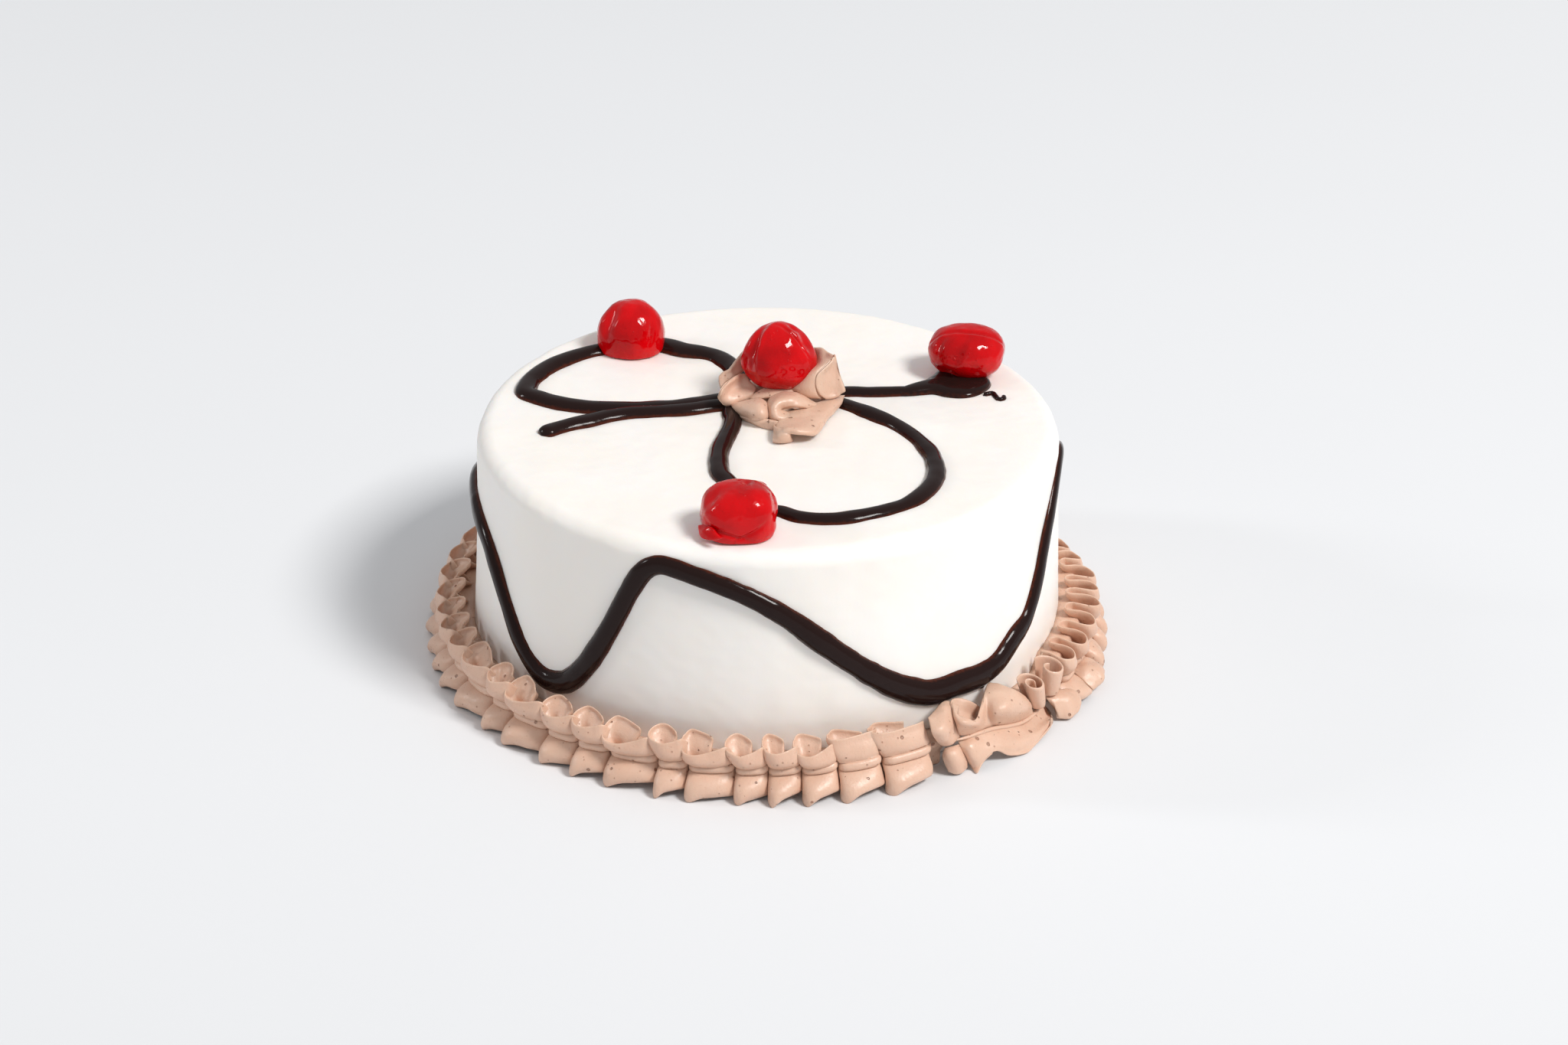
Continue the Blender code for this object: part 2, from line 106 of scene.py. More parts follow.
class Shells:
    """Closed shells gathered into one mesh, each turned so that its faces point outward."""

    def __init__(self):
        self.points = []
        self.faces = []
        self.values = []
        self.count = 0

    def add(self, points, quads, triangles, value=None):
        """One closed shell; value is a number for each point, kept as an attribute."""
        points = np.asarray(points, float).reshape(-1, 3)
        origin = points.mean(axis=0)
        local = points - origin
        volume = 0.0
        for faces in (triangles, quads[:, :3], quads[:, [0, 2, 3]]):
            a, b, c = (local[faces[:, k]] for k in range(3))
            volume += np.einsum("ij,ij->", a, np.cross(b, c))
        if volume < 0:
            quads = quads[:, ::-1]
            triangles = triangles[:, ::-1]
        self.points.append(points)
        self.faces.append((quads + self.count, triangles + self.count))
        self.values.append(np.zeros(len(points)) if value is None else np.asarray(value, float).reshape(-1))
        self.count += len(points)

    def tube(self, grid, value=None):
        """A grid of rings: closed round each ring, and closed at both ends by a fan to the ring's middle."""
        rows, columns = grid.shape[:2]
        index = np.arange(rows * columns).reshape(rows, columns)
        ahead = np.roll(index, -1, axis=1)
        quads = np.stack([index[:-1], ahead[:-1], ahead[1:], index[1:]], axis=-1).reshape(-1, 4)
        first, last = rows * columns, rows * columns + 1
        start = np.stack([np.full(columns, first), ahead[0], index[0]], axis=-1)
        end = np.stack([np.full(columns, last), index[-1], ahead[-1]], axis=-1)
        points = np.concatenate([grid.reshape(-1, 3), grid[:1].mean(axis=1), grid[-1:].mean(axis=1)])
        if value is not None:
            value = np.concatenate([value.reshape(-1), [value[0].mean(), value[-1].mean()]])
        self.add(points, quads, np.concatenate([start, end]), value)

    def ring(self, grid, value=None):
        """A grid closed both ways, such as a bead that runs right round."""
        rows, columns = grid.shape[:2]
        index = np.arange(rows * columns).reshape(rows, columns)
        right = np.roll(index, -1, axis=1)
        below = np.roll(index, -1, axis=0)
        corner = np.roll(below, -1, axis=1)
        quads = np.stack([index, right, corner, below], axis=-1).reshape(-1, 4)
        self.add(grid, quads, np.zeros((0, 3), int), value)

    def slab(self, middle, wall):
        """A sheet: its two faces lie a wall to each side of its middle and meet round its rim."""
        self.tube(np.concatenate([middle + wall, (middle - wall)[:, ::-1]], axis=1))

    def object(self, name, attribute=None):
        """The object, smooth shaded, with the points in metres."""
        points = np.concatenate(self.points) * MM
        quads = np.concatenate([f[0] for f in self.faces])
        triangles = np.concatenate([f[1] for f in self.faces])
        mesh = bpy.data.meshes.new(name)
        mesh.vertices.add(len(points))
        mesh.vertices.foreach_set("co", points.ravel())
        mesh.loops.add(quads.size + triangles.size)
        mesh.loops.foreach_set("vertex_index", np.concatenate([quads.ravel(), triangles.ravel()]))
        mesh.polygons.add(len(quads) + len(triangles))
        starts = np.concatenate([np.arange(len(quads)) * 4, quads.size + np.arange(len(triangles)) * 3])
        mesh.polygons.foreach_set("loop_start", starts)
        mesh.update(calc_edges=True)
        mesh.polygons.foreach_set("use_smooth", np.ones(len(mesh.polygons), bool))
        if attribute:
            layer = mesh.attributes.new(attribute, "FLOAT", "POINT")
            layer.data.foreach_set("value", np.concatenate(self.values))
        mesh.validate()
        made = bpy.data.objects.new(name, mesh)
        bpy.context.scene.collection.objects.link(made)
        return made


def waves(points, seed, size, count=28):
    """Smooth noise from -1 to 1: a mean of sine waves in seeded directions, each about size mm long."""
    rng = np.random.default_rng(seed)
    ways = rng.normal(size=(count, 3))
    rates = (2 * math.pi / size) * rng.uniform(0.5, 1.6, size=(count, 1))
    ways *= rates / np.linalg.norm(ways, axis=1)[:, None]
    phase = rng.uniform(0, 2 * math.pi, count)
    total = np.zeros(points.shape[:-1])
    for way, turn in zip(ways, phase):
        total += np.sin(points @ way + turn)
    return 0.7 * total / count ** 0.5


def between(value, low, high):
    """A straight rise from 0 at low to 1 at high, or a fall where low is the larger."""
    return np.clip((value - low) / (high - low), 0, 1)


def unit(vectors):
    """Vectors scaled to length one."""
    return vectors / np.maximum(np.linalg.norm(vectors, axis=-1, keepdims=True), 1e-12)


def round_axis(radius, angle, z):
    """Points from a radius, an angle in radians and a height."""
    return np.stack(np.broadcast_arrays(radius * np.cos(angle), radius * np.sin(angle), z), axis=-1)


def circle(points):
    """Evenly spaced angles once round, in radians."""
    return np.arange(points) * 2 * math.pi / points


def catmull_rom(a, b, c, d, t):
    """The Catmull-Rom curve from b, where t is 0, to c, where t is 1."""
    return 0.5 * (2 * b + (c - a) * t + (2 * a - 5 * b + 4 * c - d) * t ** 2
                  + (3 * b - a - 3 * c + d) * t ** 3)


def with_ends(points):
    """Points with one more at each end, straight on from the last two."""
    points = np.asarray(points, float)
    return np.concatenate([2 * points[:1] - points[1:2], points, 2 * points[-1:] - points[-2:-1]])


def distance_along(path):
    """How far along a path each of its points lies."""
    return np.concatenate([[0], np.cumsum(np.linalg.norm(np.diff(path, axis=0), axis=1))])


def smooth_path(points, spacing, steps=40):
    """Evenly spaced points on a Catmull-Rom curve through a few points."""
    pts = with_ends(points)
    t = np.linspace(0, 1, steps, endpoint=False)[:, None]
    spans = [catmull_rom(*four, t) for four in zip(pts[:-3], pts[1:-2], pts[2:-1], pts[3:])]
    dense = np.concatenate(spans + [pts[-2:-1]])
    run = distance_along(dense)
    at = np.linspace(0, run[-1], max(4, round(run[-1] / spacing) + 1))
    return np.stack([np.interp(at, run, column) for column in dense.T], axis=1)


def spline(points, count):
    """Catmull-Rom interpolation along the first axis of an array, at evenly spaced places."""
    pts = with_ends(points)
    place = np.linspace(0, len(pts) - 3, count)
    start = np.minimum(place.astype(int), len(pts) - 4)
    t = (place - start).reshape(-1, *([1] * (pts.ndim - 1)))
    return catmull_rom(*(pts[start + k] for k in range(4)), t)


def sheet(shells, net, thickness, rows=56, columns=56, grain=0.12):
    """A soft sheet through a net of points: Catmull-Rom both ways, with a wall to each side.

    The wall is half the thickness times (1 - |a|^8)^0.5 times (1 - |b|^8)^0.5, where a and b run from
    -1 to 1 between the sheet's edges, so every rim is round. Slow noise dimples the middle.
    """
    middle = spline(np.swapaxes(spline(net, rows), 0, 1), columns)
    normal = unit(np.cross(np.gradient(middle, axis=0), np.gradient(middle, axis=1)))
    middle = middle + grain * waves(middle, 71, 5)[..., None] * normal
    a, b = np.linspace(-1, 1, columns)[:, None], np.linspace(-1, 1, rows)[None, :]
    rim = np.sqrt((1 - np.abs(a) ** 8) * (1 - np.abs(b) ** 8))
    shells.slab(middle, 0.5 * thickness * np.maximum(rim, 0.12)[..., None] * normal)


def ridge(shells, path, radius, points=14):
    """A round ridge along a path: a circle across it whose radius falls to nothing at both ends."""
    path = smooth_path(path, 0.4)
    ahead = unit(np.gradient(path, axis=0))
    side = unit(np.cross(ahead, (0, 0, 1.0)))
    up = np.cross(side, ahead)
    share = np.linspace(0, 1, len(path))
    size = radius * np.sqrt(np.clip(1 - (2 * share - 1) ** 6, 0.01, 1))
    turn = circle(points)[None, :, None]
    around = np.cos(turn) * side[:, None, :] + np.sin(turn) * up[:, None, :]
    shells.tube(path[:, None, :] + size[:, None, None] * around)


# shader maths


class Field:
    """A node's output; arithmetic on it adds Math nodes."""

    def __init__(self, shade, socket):
        self.shade = shade
        self.socket = socket

    def math(self, operation, *others):
        """A Math node of this value and others."""
        return self.shade.node("ShaderNodeMath", {"operation": operation}, dict(enumerate((self, *others))))

    def __add__(self, other):
        return self.math("ADD", other)

    __radd__ = __add__

    def __sub__(self, other):
        return self.math("SUBTRACT", other)

    def __rsub__(self, other):
        return self.math("MULTIPLY_ADD", -1.0, other)

    def __mul__(self, other):
        return self.math("MULTIPLY", other)

    __rmul__ = __mul__


class Shade:
    """A material with a Principled shader and short ways to add nodes to it."""

    def __init__(self, name, **constants):
        self.material = bpy.data.materials.new(name)
        self.material.use_nodes = True
        self.tree = self.material.node_tree
        self.shader = self.tree.nodes["Principled BSDF"]
        for key, value in constants.items():
            self.shader.inputs[key.replace("_", " ")].default_value = value

    def node(self, kind, settings=None, inputs=None, output=0):
        """A node of a kind: its settings first, then values or links for its sockets."""
        made = self.tree.nodes.new(kind)
        for key, value in (settings or {}).items():
            setattr(made, key, value)
        for key, value in (inputs or {}).items():
            if isinstance(value, Field):
                self.tree.links.new(value.socket, made.inputs[key])
            else:
                made.inputs[key].default_value = value
        return Field(self, made.outputs[output])

    def position(self):
        """Object coordinates, in metres."""
        return self.node("ShaderNodeTexCoord", output="Object")

    def attribute(self, name):
        """A number kept on the mesh's points."""
        return self.node("ShaderNodeAttribute", {"attribute_name": name}, output="Fac")

    def scaled(self, size, stretch=(1, 1, 1)):
        """Object coordinates in units of size mm, and of more along the axes where stretch is large."""
        return self.node("ShaderNodeMapping", {}, {"Vector": self.position(),
                                                   "Scale": tuple(1 / (size * MM * s) for s in stretch)})

    def noise(self, size, detail=2.0, stretch=(1, 1, 1), rough=0.5):
        """Noise with features about size mm across."""
        return self.node("ShaderNodeTexNoise", {}, {"Vector": self.scaled(size, stretch), "Scale": 1.0,
                                                    "Detail": detail, "Roughness": rough})

    def step(self, value, low, high, start=0.0, end=1.0):
        """A smooth rise of value from start to end between low and high."""
        return self.node("ShaderNodeMapRange", {"interpolation_type": "SMOOTHSTEP"},
                         {"Value": value, "From Min": low, "From Max": high, "To Min": start, "To Max": end})

    def pits(self, size, share):
        """Round pits: 1 in the middle of the few cells of a pattern that a random draw picks."""
        links = {"Vector": self.scaled(size), "Scale": 1.0}
        near = self.node("ShaderNodeTexVoronoi", {}, links, "Distance")
        draw = self.node("ShaderNodeTexVoronoi", {}, links, "Color")
        pick = self.node("ShaderNodeSeparateColor", {}, {"Color": draw}, "Red")
        wide = self.node("ShaderNodeSeparateColor", {}, {"Color": draw}, "Green")
        return self.step(near - wide * 0.10, 0.13, 0.07) * self.step(pick, share + 0.002, share)

    def mix(self, factor, low, high):
        """Colour low where factor is 0 and high where it is 1."""
        low = low if isinstance(low, Field) else (*low, 1.0)
        high = high if isinstance(high, Field) else (*high, 1.0)
        return self.node("ShaderNodeMix", {"data_type": "RGBA"}, {0: factor, 6: low, 7: high}, 2)

    def bump(self, height, depth, strength=1.0, after=None):
        """A bump of a height from 0 to 1 that stands depth mm."""
        links = {"Height": height, "Distance": depth * MM, "Strength": strength}
        if after:
            links["Normal"] = after
        return self.node("ShaderNodeBump", {}, links)

    def feed(self, **links):
        """Link fields to the shader's sockets."""
        for key, value in links.items():
            self.tree.links.new(value.socket, self.shader.inputs[key.replace("_", " ")])
        return self.material


def dimmed(colour, *shares):
    """A colour with its red, green and blue each cut to a share."""
    return tuple(channel * share for channel, share in zip(colour, shares))


def frosting_finish(colour):
    """Whipped frosting: satin, faintly mottled, with the spatula's fine marks."""
    shade = Shade("frosting", Subsurface_Weight=0.25, Subsurface_Radius=(4.0, 3.0, 2.2),
                  Subsurface_Scale=0.001, Specular_IOR_Level=0.4)
    cloud = shade.noise(34, 3)
    fine = shade.noise(2.2, 4)
    marks = shade.noise(5, 3, stretch=(1, 1, 3.0))
    tint = shade.mix(shade.step(cloud, 0.35, 0.65), colour, dimmed(colour, 1.0, 0.985, 0.965))
    relief = shade.bump(marks, 0.25, 0.35)
    relief = shade.bump(fine, 0.06, 0.4, relief)
    return shade.feed(Base_Color=tint, Roughness=shade.step(fine, 0.3, 0.7, 0.42, 0.56), Normal=relief)


def chocolate_finish(thick, thin):
    """Glossy chocolate, red-brown where it runs out thin at its edges."""
    shade = Shade("chocolate", Specular_IOR_Level=0.17, IOR=1.45)
    rim = shade.attribute("rim")
    speck = shade.noise(1.1, 3)
    tint = shade.mix(shade.step(rim + speck * 0.2, 0.94, 1.12), thick, thin)
    relief = shade.bump(shade.noise(7, 2), 0.25, 0.5)
    relief = shade.bump(speck, 0.03, 0.4, relief)
    return shade.feed(Base_Color=tint, Roughness=shade.step(speck, 0.3, 0.7, 0.09, 0.17), Normal=relief)


def cream_finish(colour):
    """Piped mocha cream: satin, crisp air pits with painted shade inside, and a faintly dragged skin."""
    shade = Shade("mocha_cream", Subsurface_Weight=0.16, Subsurface_Radius=(2.0, 1.1, 0.8),
                  Subsurface_Scale=0.001, Specular_IOR_Level=0.6)
    cloud = shade.noise(9, 3)
    skin = shade.noise(0.8, 4, stretch=(1, 1, 1.5), rough=0.65)
    pit_and_painted_shade = shade.pits(3.2, 0.17)
    dot_and_painted_shade = shade.pits(1.5, 0.2)
    tint = shade.mix(shade.step(cloud, 0.3, 0.7), colour, dimmed(colour, 0.93, 0.90, 0.88))
    # painted shade: the pits and small dots are painted darker, standing in for the shade inside the holes
    tint = shade.mix(pit_and_painted_shade * 0.8, tint, dimmed(colour, 0.42, 0.30, 0.24))
    tint = shade.mix(dot_and_painted_shade * 0.7, tint, dimmed(colour, 0.60, 0.48, 0.42))
    relief = shade.bump(1 - pit_and_painted_shade, 0.6, 0.9)
    relief = shade.bump(1 - dot_and_painted_shade, 0.3, 0.8, relief)
    relief = shade.bump(skin, 0.16, 0.8, relief)
    return shade.feed(Base_Color=tint, Roughness=shade.step(skin, 0.3, 0.7, 0.26, 0.46), Normal=relief)


def cherry_finish(colour):
    """Wet glazed cherry: clear deep red flesh under a syrup skin with small droplets."""
    shade = Shade("cherry", Subsurface_Weight=0.3, Subsurface_Radius=(3.0, 0.3, 0.3), Subsurface_Scale=0.001,
                  Specular_IOR_Level=0.05, Coat_Weight=0.42, Coat_Roughness=0.03, Coat_IOR=1.5)
    cloud = shade.noise(11, 2)
    ripple = shade.noise(3.6, 2)
    fine = shade.noise(0.9, 2)
    beads = shade.step(shade.noise(1.5, 1), 0.62, 0.72) * shade.step(shade.noise(7, 1), 0.5, 0.62)
    tint = shade.mix(shade.step(cloud, 0.35, 0.7), colour, dimmed(colour, 0.72, 0.7, 0.7))
    relief = shade.bump(ripple, 0.5, 0.6)
    relief = shade.bump(fine, 0.08, 0.6, relief)
    relief = shade.bump(beads, 0.25, 0.7, relief)
    return shade.feed(Base_Color=tint, Roughness=shade.step(ripple, 0.3, 0.7, 0.12, 0.2), Normal=relief)


def wear(piece, material, slot, *nodes):
    """Give a piece its finish, hang it on the body it rides on, and hide the parts it stands for."""
    piece.data.materials.clear()
    piece.data.materials.append(material)
    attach(piece, BODY)
    if nodes:
        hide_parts(*nodes)


# frosting

# how far the foot's edge is broken, and the radius of the smallest ring above and below
FOOT_EDGE = 1.2
MIDDLE_RING = 0.5
# the frosting's slow waves and knife marks: depth, seed, size and how far each axis is drawn together
FROSTING_WAVES = ((0.28, 3, 42, (1, 1, 1)), (0.10, 5, 14, (1, 1, 0.35)), (0.05, 6, 7, (1, 1, 2.4)))


def side_radius(sizes, z):
    """Radius of the frosted side at a height: a straight taper, then the quarter round of the top edge."""
    start = sizes.height - sizes.edge_round
    taper = sizes.base_radius + (sizes.top_radius - sizes.base_radius) * np.minimum(z, start) / sizes.height
    rise = np.clip(z - start, 0, sizes.edge_round)
    return taper - sizes.edge_round + np.sqrt(sizes.edge_round ** 2 - rise ** 2)


def frosting_profile(sizes):
    """Radius and height from the middle of the underside, up the side and in to the middle of the top."""
    base = sizes.base_radius
    start = sizes.height - sizes.edge_round
    shoulder = side_radius(sizes, start)
    turn = np.linspace(0, math.pi / 2, 14)
    under = [[MIDDLE_RING, 0], [0.5 * base, 0], [base - FOOT_EDGE, 0], [base - FOOT_EDGE / 4, FOOT_EDGE / 4]]
    z = np.linspace(FOOT_EDGE, start, 56)
    side = np.stack([side_radius(sizes, z), z], axis=1)
    edge = np.stack([shoulder - sizes.edge_round * (1 - np.cos(turn)),
                     start + sizes.edge_round * np.sin(turn)], axis=1)[1:]
    inward = np.linspace(shoulder - sizes.edge_round, MIDDLE_RING, 56)[1:]
    top = np.stack([inward, np.full(len(inward), sizes.height)], axis=1)
    return np.concatenate([under, side, edge, top])


class CAKE_OT_frosting(bpy.types.Operator):
    """Add the frosted body: the turned profile moved along its normal by slow waves and knife marks"""

    bl_idname = "cake.frosting"
    bl_label = "Frosting"

    def execute(self, context):
        profile = frosting_profile(context.scene.cake_sizes)
        run, rise = np.gradient(profile, axis=0).T
        outward = unit(np.stack([rise, -run], axis=1))
        angle = circle(720)
        grid = round_axis(profile[:, :1], angle, profile[:, 1:])
        normal = round_axis(outward[:, :1], angle, outward[:, 1:])
        swell = sum(depth * waves(grid * squeeze, seed, size)
                    for depth, seed, size, squeeze in FROSTING_WAVES)
        shells = Shells()
        shells.tube(grid + normal * (swell * between(grid[..., 2], 1, 7))[..., None])
        finish = frosting_finish(context.scene.cake_colours.frosting)
        wear(shells.object("frosting"), finish, "frosting", "cake")
        return {"FINISHED"}


# chocolate lines

# how deep a line is sunk into the frosting
SINK = 0.7
# the line round the side: angle in degrees and height, then angle and share of the line's width
SIDE_LINE = ((190, 51), (199, 47.8), (205, 42.2), (211, 32.5), (216, 24), (220, 19.5), (224, 17.4),
             (228.5, 18.8), (232, 23.2), (236, 32), (240, 43.5), (244, 56.5), (247, 63.5), (250.5, 65.8),
             (256, 64.2), (262, 61.5), (268, 57.6), (274, 51.9), (280, 44.2), (286, 36.4), (292, 29.2),
             (297, 24.4), (302, 21.4), (308, 21.2), (314, 20.7), (319, 22.1), (324, 26.5), (329, 30.2),
             (334, 39.5), (338, 49.5), (342, 56.5), (346, 61.8), (350, 65.2), (355, 66), (361, 61),
             (370, 42), (381, 24), (392, 19), (404, 27), (418, 46), (432, 62), (446, 60), (462, 41),
             (478, 24), (490, 19.5), (503, 27), (520, 41), (535, 50))
SIDE_WIDTHS = ((190, 1.1), (200, 1.05), (212, 1), (224, 1.1), (236, 1.05), (250, 0.95), (270, 1),
               (292, 1.15), (304, 1.35), (318, 1.25), (326, 1.1), (334, 0.95), (342, 0.85), (352, 0.8),
               (365, 0.8), (550, 1.1))
# drips below it: angle and seed
SIDE_DRIPS = ((304.6, 31), (314.4, 33))
# lines on the top: seed, share of the line's width, and points in plan
TOP_LINES = (
    (41, 1.22, ((-2, 20), (-4.5, 25), (-8, 30), (-11.5, 37), (-15.5, 43.5), (-20.4, 46.7), (-26.5, 48.6),
                (-32, 51.8), (-38, 53))),
    (43, 1.06, ((-47, 51), (-55.6, 47), (-62.1, 42.1), (-67.4, 36.4), (-71.4, 29.6), (-73.7, 23.3),
                (-73.7, 16.5), (-69.3, 12.6), (-63.9, 9.3), (-56.5, 6.9), (-50, 6.3), (-40, 6.4),
                (-30, 7.2), (-22, 9.6), (-13, 13), (-6, 15))),
    (45, 1, ((-67.5, -12.5), (-64.5, -9.3), (-59, -5.6), (-53.7, -2.9), (-48, 0.4), (-41.5, 2.8),
             (-33, 3.9), (-25, 5.2), (-17, 8), (-9, 10))),
    (47, 0.93, ((-11, 9), (-11.3, 3), (-10.8, -1), (-11.3, -6.8), (-12.7, -13.4), (-14.3, -22),
                (-14.5, -31), (-13.6, -38.1), (-11.2, -43.5), (-9, -52), (-8.3, -62), (-8.2, -70))),
    (49, 0.92, ((-7, -67.5), (-2.5, -63), (3.2, -61.6), (8.9, -65), (16.7, -66.3), (24.1, -65), (33, -61),
                (40.6, -55.2), (46.2, -46.4), (48.8, -37.7), (49, -30), (47.6, -21.8), (44, -12.9),
                (38.8, -4.7), (31.6, 2.7), (24.3, 8.9), (16, 15))),
    (51, 0.88, ((14, 17.5), (24, 18.7), (31, 18.6), (39.9, 19.4), (45.8, 20.4), (51, 22), (55, 24))),
)
# the puddle under the right cherry: middle, radii, and bulges as size, bearing in radians and width
PUDDLE_PLACE = (58.2, 26.0)
PUDDLE_RADII = (9.6, 10.4)
PUDDLE_BULGES = ((1.15, 3.5, 0.2), (0.16, 3.2, 0.4))
SQUIGGLE = (61, 0.26, ((65.4, 17.6), (67.2, 18.8), (68.6, 18.9), (69.3, 16.7), (70.1, 14.6), (71.3, 15.1),
                       (71.8, 17.2)))


def bead(path, normal, width, height, seed, closed=False, points=30):
    """A bead lying on a surface, and how near each point is to its edge.

    Across the path its top is height * (1 - |y|^2.6)^0.7, and its underside is sunk into the frosting.
    The width wanders by a slow noise, and an open end closes in a half round.
    """
    ahead = np.roll(path, -1, axis=0) - np.roll(path, 1, axis=0) if closed else np.gradient(path, axis=0)
    across = unit(np.cross(normal, unit(ahead)))
    half = 0.5 * width * (1 + 0.09 * waves(path, seed, 26) + 0.03 * waves(path, seed + 1, 9))
    if not closed:
        run = distance_along(path)
        left = np.minimum(run, run[-1] - run)
        half = half * np.sqrt(np.clip(1 - (1 - np.clip(left / (0.5 * width), 0, 1)) ** 2, 0.002, 1))
    turn = circle(points)
    y = np.sign(np.cos(turn)) * np.abs(np.cos(turn)) ** 0.85
    shape = (1 - np.abs(y) ** 2.6) ** 0.7
    up = np.where(np.sin(turn) >= 0, shape, -SINK / np.mean(height) * shape)
    tall = height * np.clip(half / (0.5 * np.mean(width)), 0, 1.15)
    ragged = 1 + 0.025 * waves(path[:, None, :] + 9 * y[None, :, None], seed + 2, 4) * np.abs(y) ** 3
    grid = (path[:, None, :] + across[:, None, :] * (half[:, None] * y * ragged)[..., None]
            + normal[:, None, :] * (tall[:, None] * up)[..., None])
    return grid, np.broadcast_to(np.abs(y), grid.shape[:2])


def on_side(sizes, pairs, spacing, closed=False):
    """Points on the side and their normals, from pairs of angle in degrees and height."""
    scale = math.radians(1) * sizes.base_radius
    rows = [(angle * scale, z) for angle, z in pairs]
    if closed:
        rows.append(((pairs[0][0] + 360) * scale, pairs[0][1]))
    flat = smooth_path(rows, spacing)
    if closed:
        flat = flat[:-1]
    angle = flat[:, 0] / sizes.base_radius
    z = flat[:, 1]
    lean = np.arctan2(side_radius(sizes, z - 0.2) - side_radius(sizes, z + 0.2), 0.4)
    return round_axis(side_radius(sizes, z), angle, z), round_axis(np.cos(lean), angle, np.sin(lean))


def side_line(shells, sizes):
    """The line that runs right round the side, and two drips below it."""
    path, normal = on_side(sizes, SIDE_LINE, 0.8, closed=True)
    start = SIDE_WIDTHS[0][0]
    angle = (np.degrees(np.arctan2(path[:, 1], path[:, 0])) - start) % 360 + start
    share = np.interp(angle, *np.transpose(SIDE_WIDTHS))
    height = sizes.line_height * np.minimum(share, 1)
    shells.ring(*bead(path, normal, share * sizes.line_width, height, 21, closed=True))
    for angle, seed in SIDE_DRIPS:
        path, normal = on_side(sizes, ((angle, 21), (angle - 0.2, 18.5), (angle - 0.1, 16.2)), 0.4)
        shells.tube(*bead(path, normal, 2.4, 1.4, seed))


def top_bead(shells, sizes, seed, width, plan):
    """A bead on the flat top, through a few points in plan; a thin one is lower too."""
    path = smooth_path(plan, 0.8)
    path = np.column_stack([path, np.full(len(path), sizes.height)])
    normal = np.broadcast_to([0.0, 0.0, 1.0], path.shape)
    shells.tube(*bead(path, normal, width * sizes.line_width, sizes.line_height * min(width, 1) ** 0.6, seed))


def top_lines(shells, sizes):
    """The two loops on the top and the lines that run out from the rosette."""
    for line in TOP_LINES:
        top_bead(shells, sizes, *line)


def puddle(shells, sizes):
    """The puddle, and the thin squiggle beside it.

    Its rim is a waved ring with a tail towards the line, and its top stands 1.15 times the line's height
    times (1 - s^4)^0.6, with s from the middle to the rim.
    """
    turn = circle(144)
    reach = 1 + 0.05 * np.cos(3 * turn + 0.6) + 0.04 * np.cos(4 * turn - 1.2)
    for size, bearing, width in PUDDLE_BULGES:
        reach += size * np.exp(-((turn - bearing) / width) ** 2)
    top = np.linspace(0.04, 1, 24)
    under = np.linspace(1, 0.04, 8)[1:]
    share = np.concatenate([top, under])[:, None]
    rise = np.concatenate([1.15 * sizes.line_height * (1 - top ** 4) ** 0.6, np.full(len(under), -0.5)])
    grid = round_axis(share * reach, turn, sizes.height + rise[:, None])
    grid = grid * (*PUDDLE_RADII, 1) + (*PUDDLE_PLACE, 0)
    shells.tube(grid, np.broadcast_to(0.93 * share, grid.shape[:2]))
    top_bead(shells, sizes, *SQUIGGLE)


class CAKE_OT_chocolate(bpy.types.Operator):
    """Add the chocolate: beads carried along smooth paths on the top and the side, and the puddle"""

    bl_idname = "cake.chocolate"
    bl_label = "Chocolate lines"

    def execute(self, context):
        colours = context.scene.cake_colours
        finish = chocolate_finish(colours.chocolate, colours.thin_chocolate)
        pieces = {"chocolate_side": side_line, "chocolate_top": top_lines, "chocolate_puddle": puddle}
        for name, build in pieces.items():
            shells = Shells()
            build(shells, context.scene.cake_sizes)
            wear(shells.object(name, "rim"), finish, "frosting", "cake")
        return {"FINISHED"}


# ruffle

# angle in degrees where each roll starts: at the front, in the join, and where the rest starts again
FRONT_ROLLS = (206.5, 216, 221.5, 230.4, 236.9, 242.9, 251.9, 256.9, 264.9, 270.4, 275.9, 282, 289.6, 299)
JOIN_ROLLS = (307, 316, 325)
RESTART = 333.0
# the usual angle between those, how many of the first are tighter, and by how much
BACK_ROLL_PITCH = 7.2
TIGHT_ROLLS = 8
TIGHT_SHARE = 0.82
# how far each front roll's lip drops, as a share of LIP_DROP, and how far out it stands
FRONT_DROPS = (1.0, 0.9, 1.1, 1.0, 0.9, 1.2, 0.9, 1.15, 1.05, 0.8, 1.2, 0.2, 0.1, 0.4)
FRONT_LIPS = (1, 1, 1, 1, 1, 1, 1, 1, 1, 1, 0.95, 0.52, 0.55, 0.7)
# one roll of the folded sheet in plan, point by point from its left end: rolls along, share of the way
# out to the front, and share of the lip's drop or of the foot's lift
LIP_FOLD = ((-0.19, 0.4, 0.3), (-0.21, 0.68, 0.62), (-0.08, 0.9, 0.92), (0.19, 1, 1.05), (0.54, 0.91, 0.72),
            (0.82, 0.77, 0.38), (0.92, 0.5, 1.5), (1.02, 0.22, 2.5), (1.3, 0.14, 2.1), (1.62, 0.46, 0.42),
            (1.33, 0.28, 0.18), (0.97, 0.2, 0.1))
WAIST_FOLD = ((0.11, 0.72, 0), (0.085, 0.83, 0), (0.18, 0.96, 0), (0.44, 1, 0), (0.78, 0.98, 0),
              (0.92, 0.86, 0), (0.96, 0.58, 0), (1.01, 0.34, 0), (1.24, 0.5, 0), (1.42, 0.74, 0),
              (1.36, 0.8, 0), (1.21, 0.72, 0))
FOOT_FOLD = ((0.09, 0.48, 0.1), (0.025, 0.71, 0), (0.04, 0.9, 0), (0.14, 1, 0.1), (0.36, 0.9, 1.3),
             (0.7, 0.79, 1.8), (0.97, 0.67, 1.9), (1.03, 0.42, 1.7), (1.12, 0.18, 1), (1.34, 0.12, 0.4),
             (1.36, 0.26, 0.2), (1.18, 0.36, 0.1))
